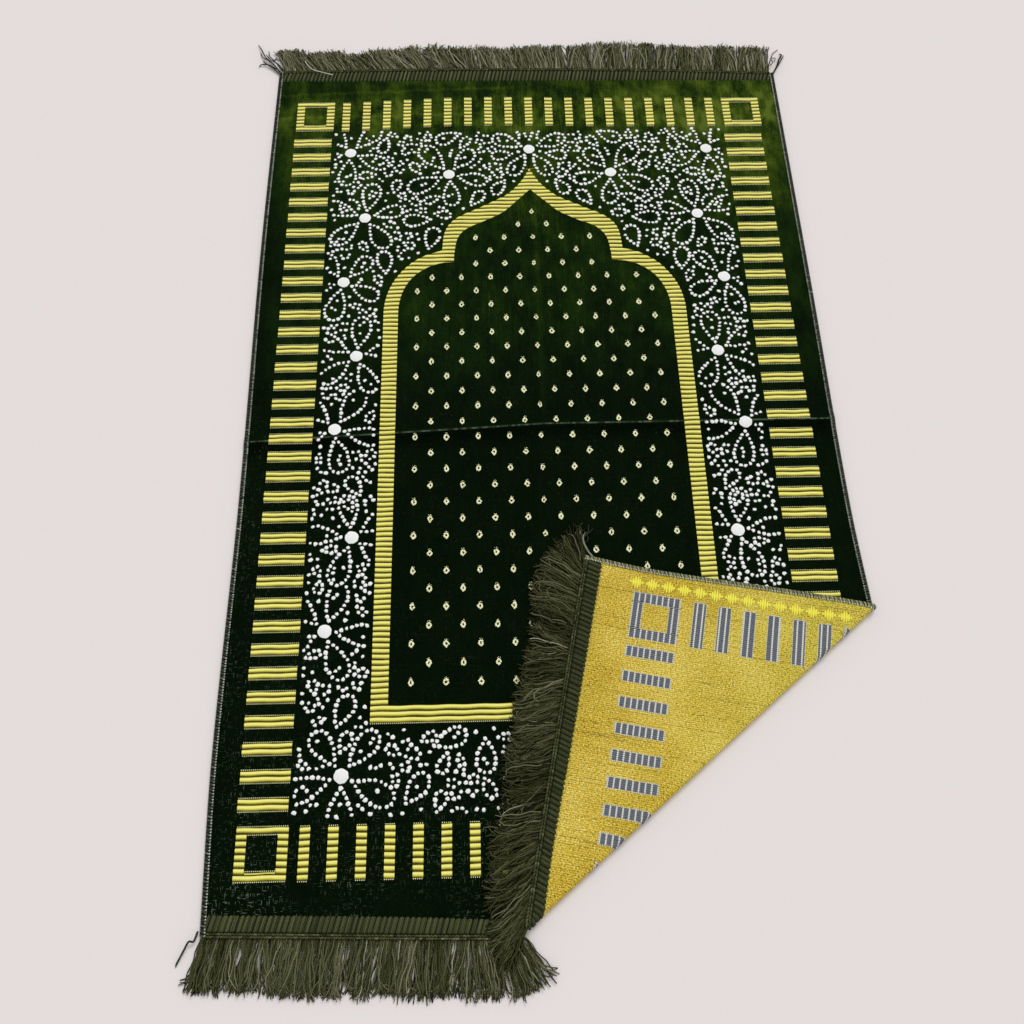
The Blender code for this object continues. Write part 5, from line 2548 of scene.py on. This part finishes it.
def main() -> None:
    """Builds the studio and then the rug, piece by piece."""
    logging.basicConfig(level=logging.INFO, format="%(name)s: %(message)s")
    studio = Studio()
    studio.floor()
    studio.light()
    studio.camera()
    wardrobe = Wardrobe(PLAN)
    cloth = Cloth(wardrobe)
    sheet = cloth.build()
    ribs = RibbedFigures(wardrobe)
    niche = Niche()
    pieces = [
        ribs.side_bars("left_bars", ribs.left_middle, LEFT_BARS),
        ribs.side_bars("right_bars", ribs.right_middle, RIGHT_BARS),
        ribs.end_bars("top_bars", END_ROW, edge(TOP_BARS)),
        ribs.end_bars("bottom_bars", END_ROW, lambda u: np.float64(ribs.bottom_middle)),
        ribs.squares(),
        niche.build(ribs),
        SeedFigures(wardrobe, niche).build(ribs),
    ]
    pieces += LaceFlowers(wardrobe, niche).build(ribs)
    pieces += BackFigures(wardrobe, ribs).build()
    top = Band(
        wardrobe, "top_band", "top_band", TOP_SEAM, TOP_EDGE, outward=1, held=Held.LAID,
        roundness=1.9, bulge_highlight=0.76, stop=0.0020,
    )
    bottom = Band(
        wardrobe, "bottom_band", "bottom_band", BOTTOM_SEAM, BOTTOM_EDGE, outward=-1, held=Held.FOLDED,
    )
    pieces += top.build([(Face.PILE, -0.3345, 0.3385)])
    pieces += bottom.build([(Face.PILE, -0.3310, -0.0370), (Face.BACK, -0.0340, 0.3400)])
    left = Binding(wardrobe, "left_overcast_edge", "left_binding", LEFT_EDGE, outward=-1, ends=LEFT_ENDS)
    right = Binding(wardrobe, "right_overcast_edge", "right_binding", RIGHT_EDGE, outward=1, ends=RIGHT_ENDS)
    pieces.append(left.build(bottom=-0.5450, top=0.5605))
    pieces.append(right.build(bottom=-0.5560, top=0.5475))
    runs = (
        FringeRun(
            wardrobe, "top_fringe_left", TOP_STRANDS, TOP_EDGE, 1, start=-0.3345, end=0.0, count=1020,
            rest=Rest.FLOOR, seed=71, pale=0.07, unruly=1.7, tone=0.33, gather=(0.02, 0.20), spread=0.20,
        ),
        FringeRun(
            wardrobe, "top_fringe_right", TOP_STRANDS, TOP_EDGE, 1, start=0.0, end=0.3380, count=980,
            rest=Rest.FLOOR, seed=72, pale=0.06, unruly=1.3, tone=0.33, gather=(0.12, 0.42), spread=0.20,
        ),
        FringeRun(
            wardrobe, "bottom_fringe_strands", BOTTOM_STRANDS, BOTTOM_EDGE, -1, start=-0.3340, end=-0.0385,
            count=820, rest=Rest.FLOOR, seed=73, pale=0.010, unruly=1.5, tone=0.24,
        ),
        FringeRun(
            wardrobe, "flap_fringe", FLAP_STRANDS, BOTTOM_EDGE, -1, start=-0.0330, end=0.3440, count=1280,
            rest=Rest.CLOTH, seed=74, pale=0.005, unruly=2.2, tone=0.11, gather=(0.06, 0.40), spread=0.17,
        ),
    )
    fringes = [run.build() for run in runs]
    for fringe, node in zip(fringes, ("top_fringe", "top_fringe", "bottom_fringe", "bottom_fringe")):
        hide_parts(node)


if __name__ == "__main__":
    main()
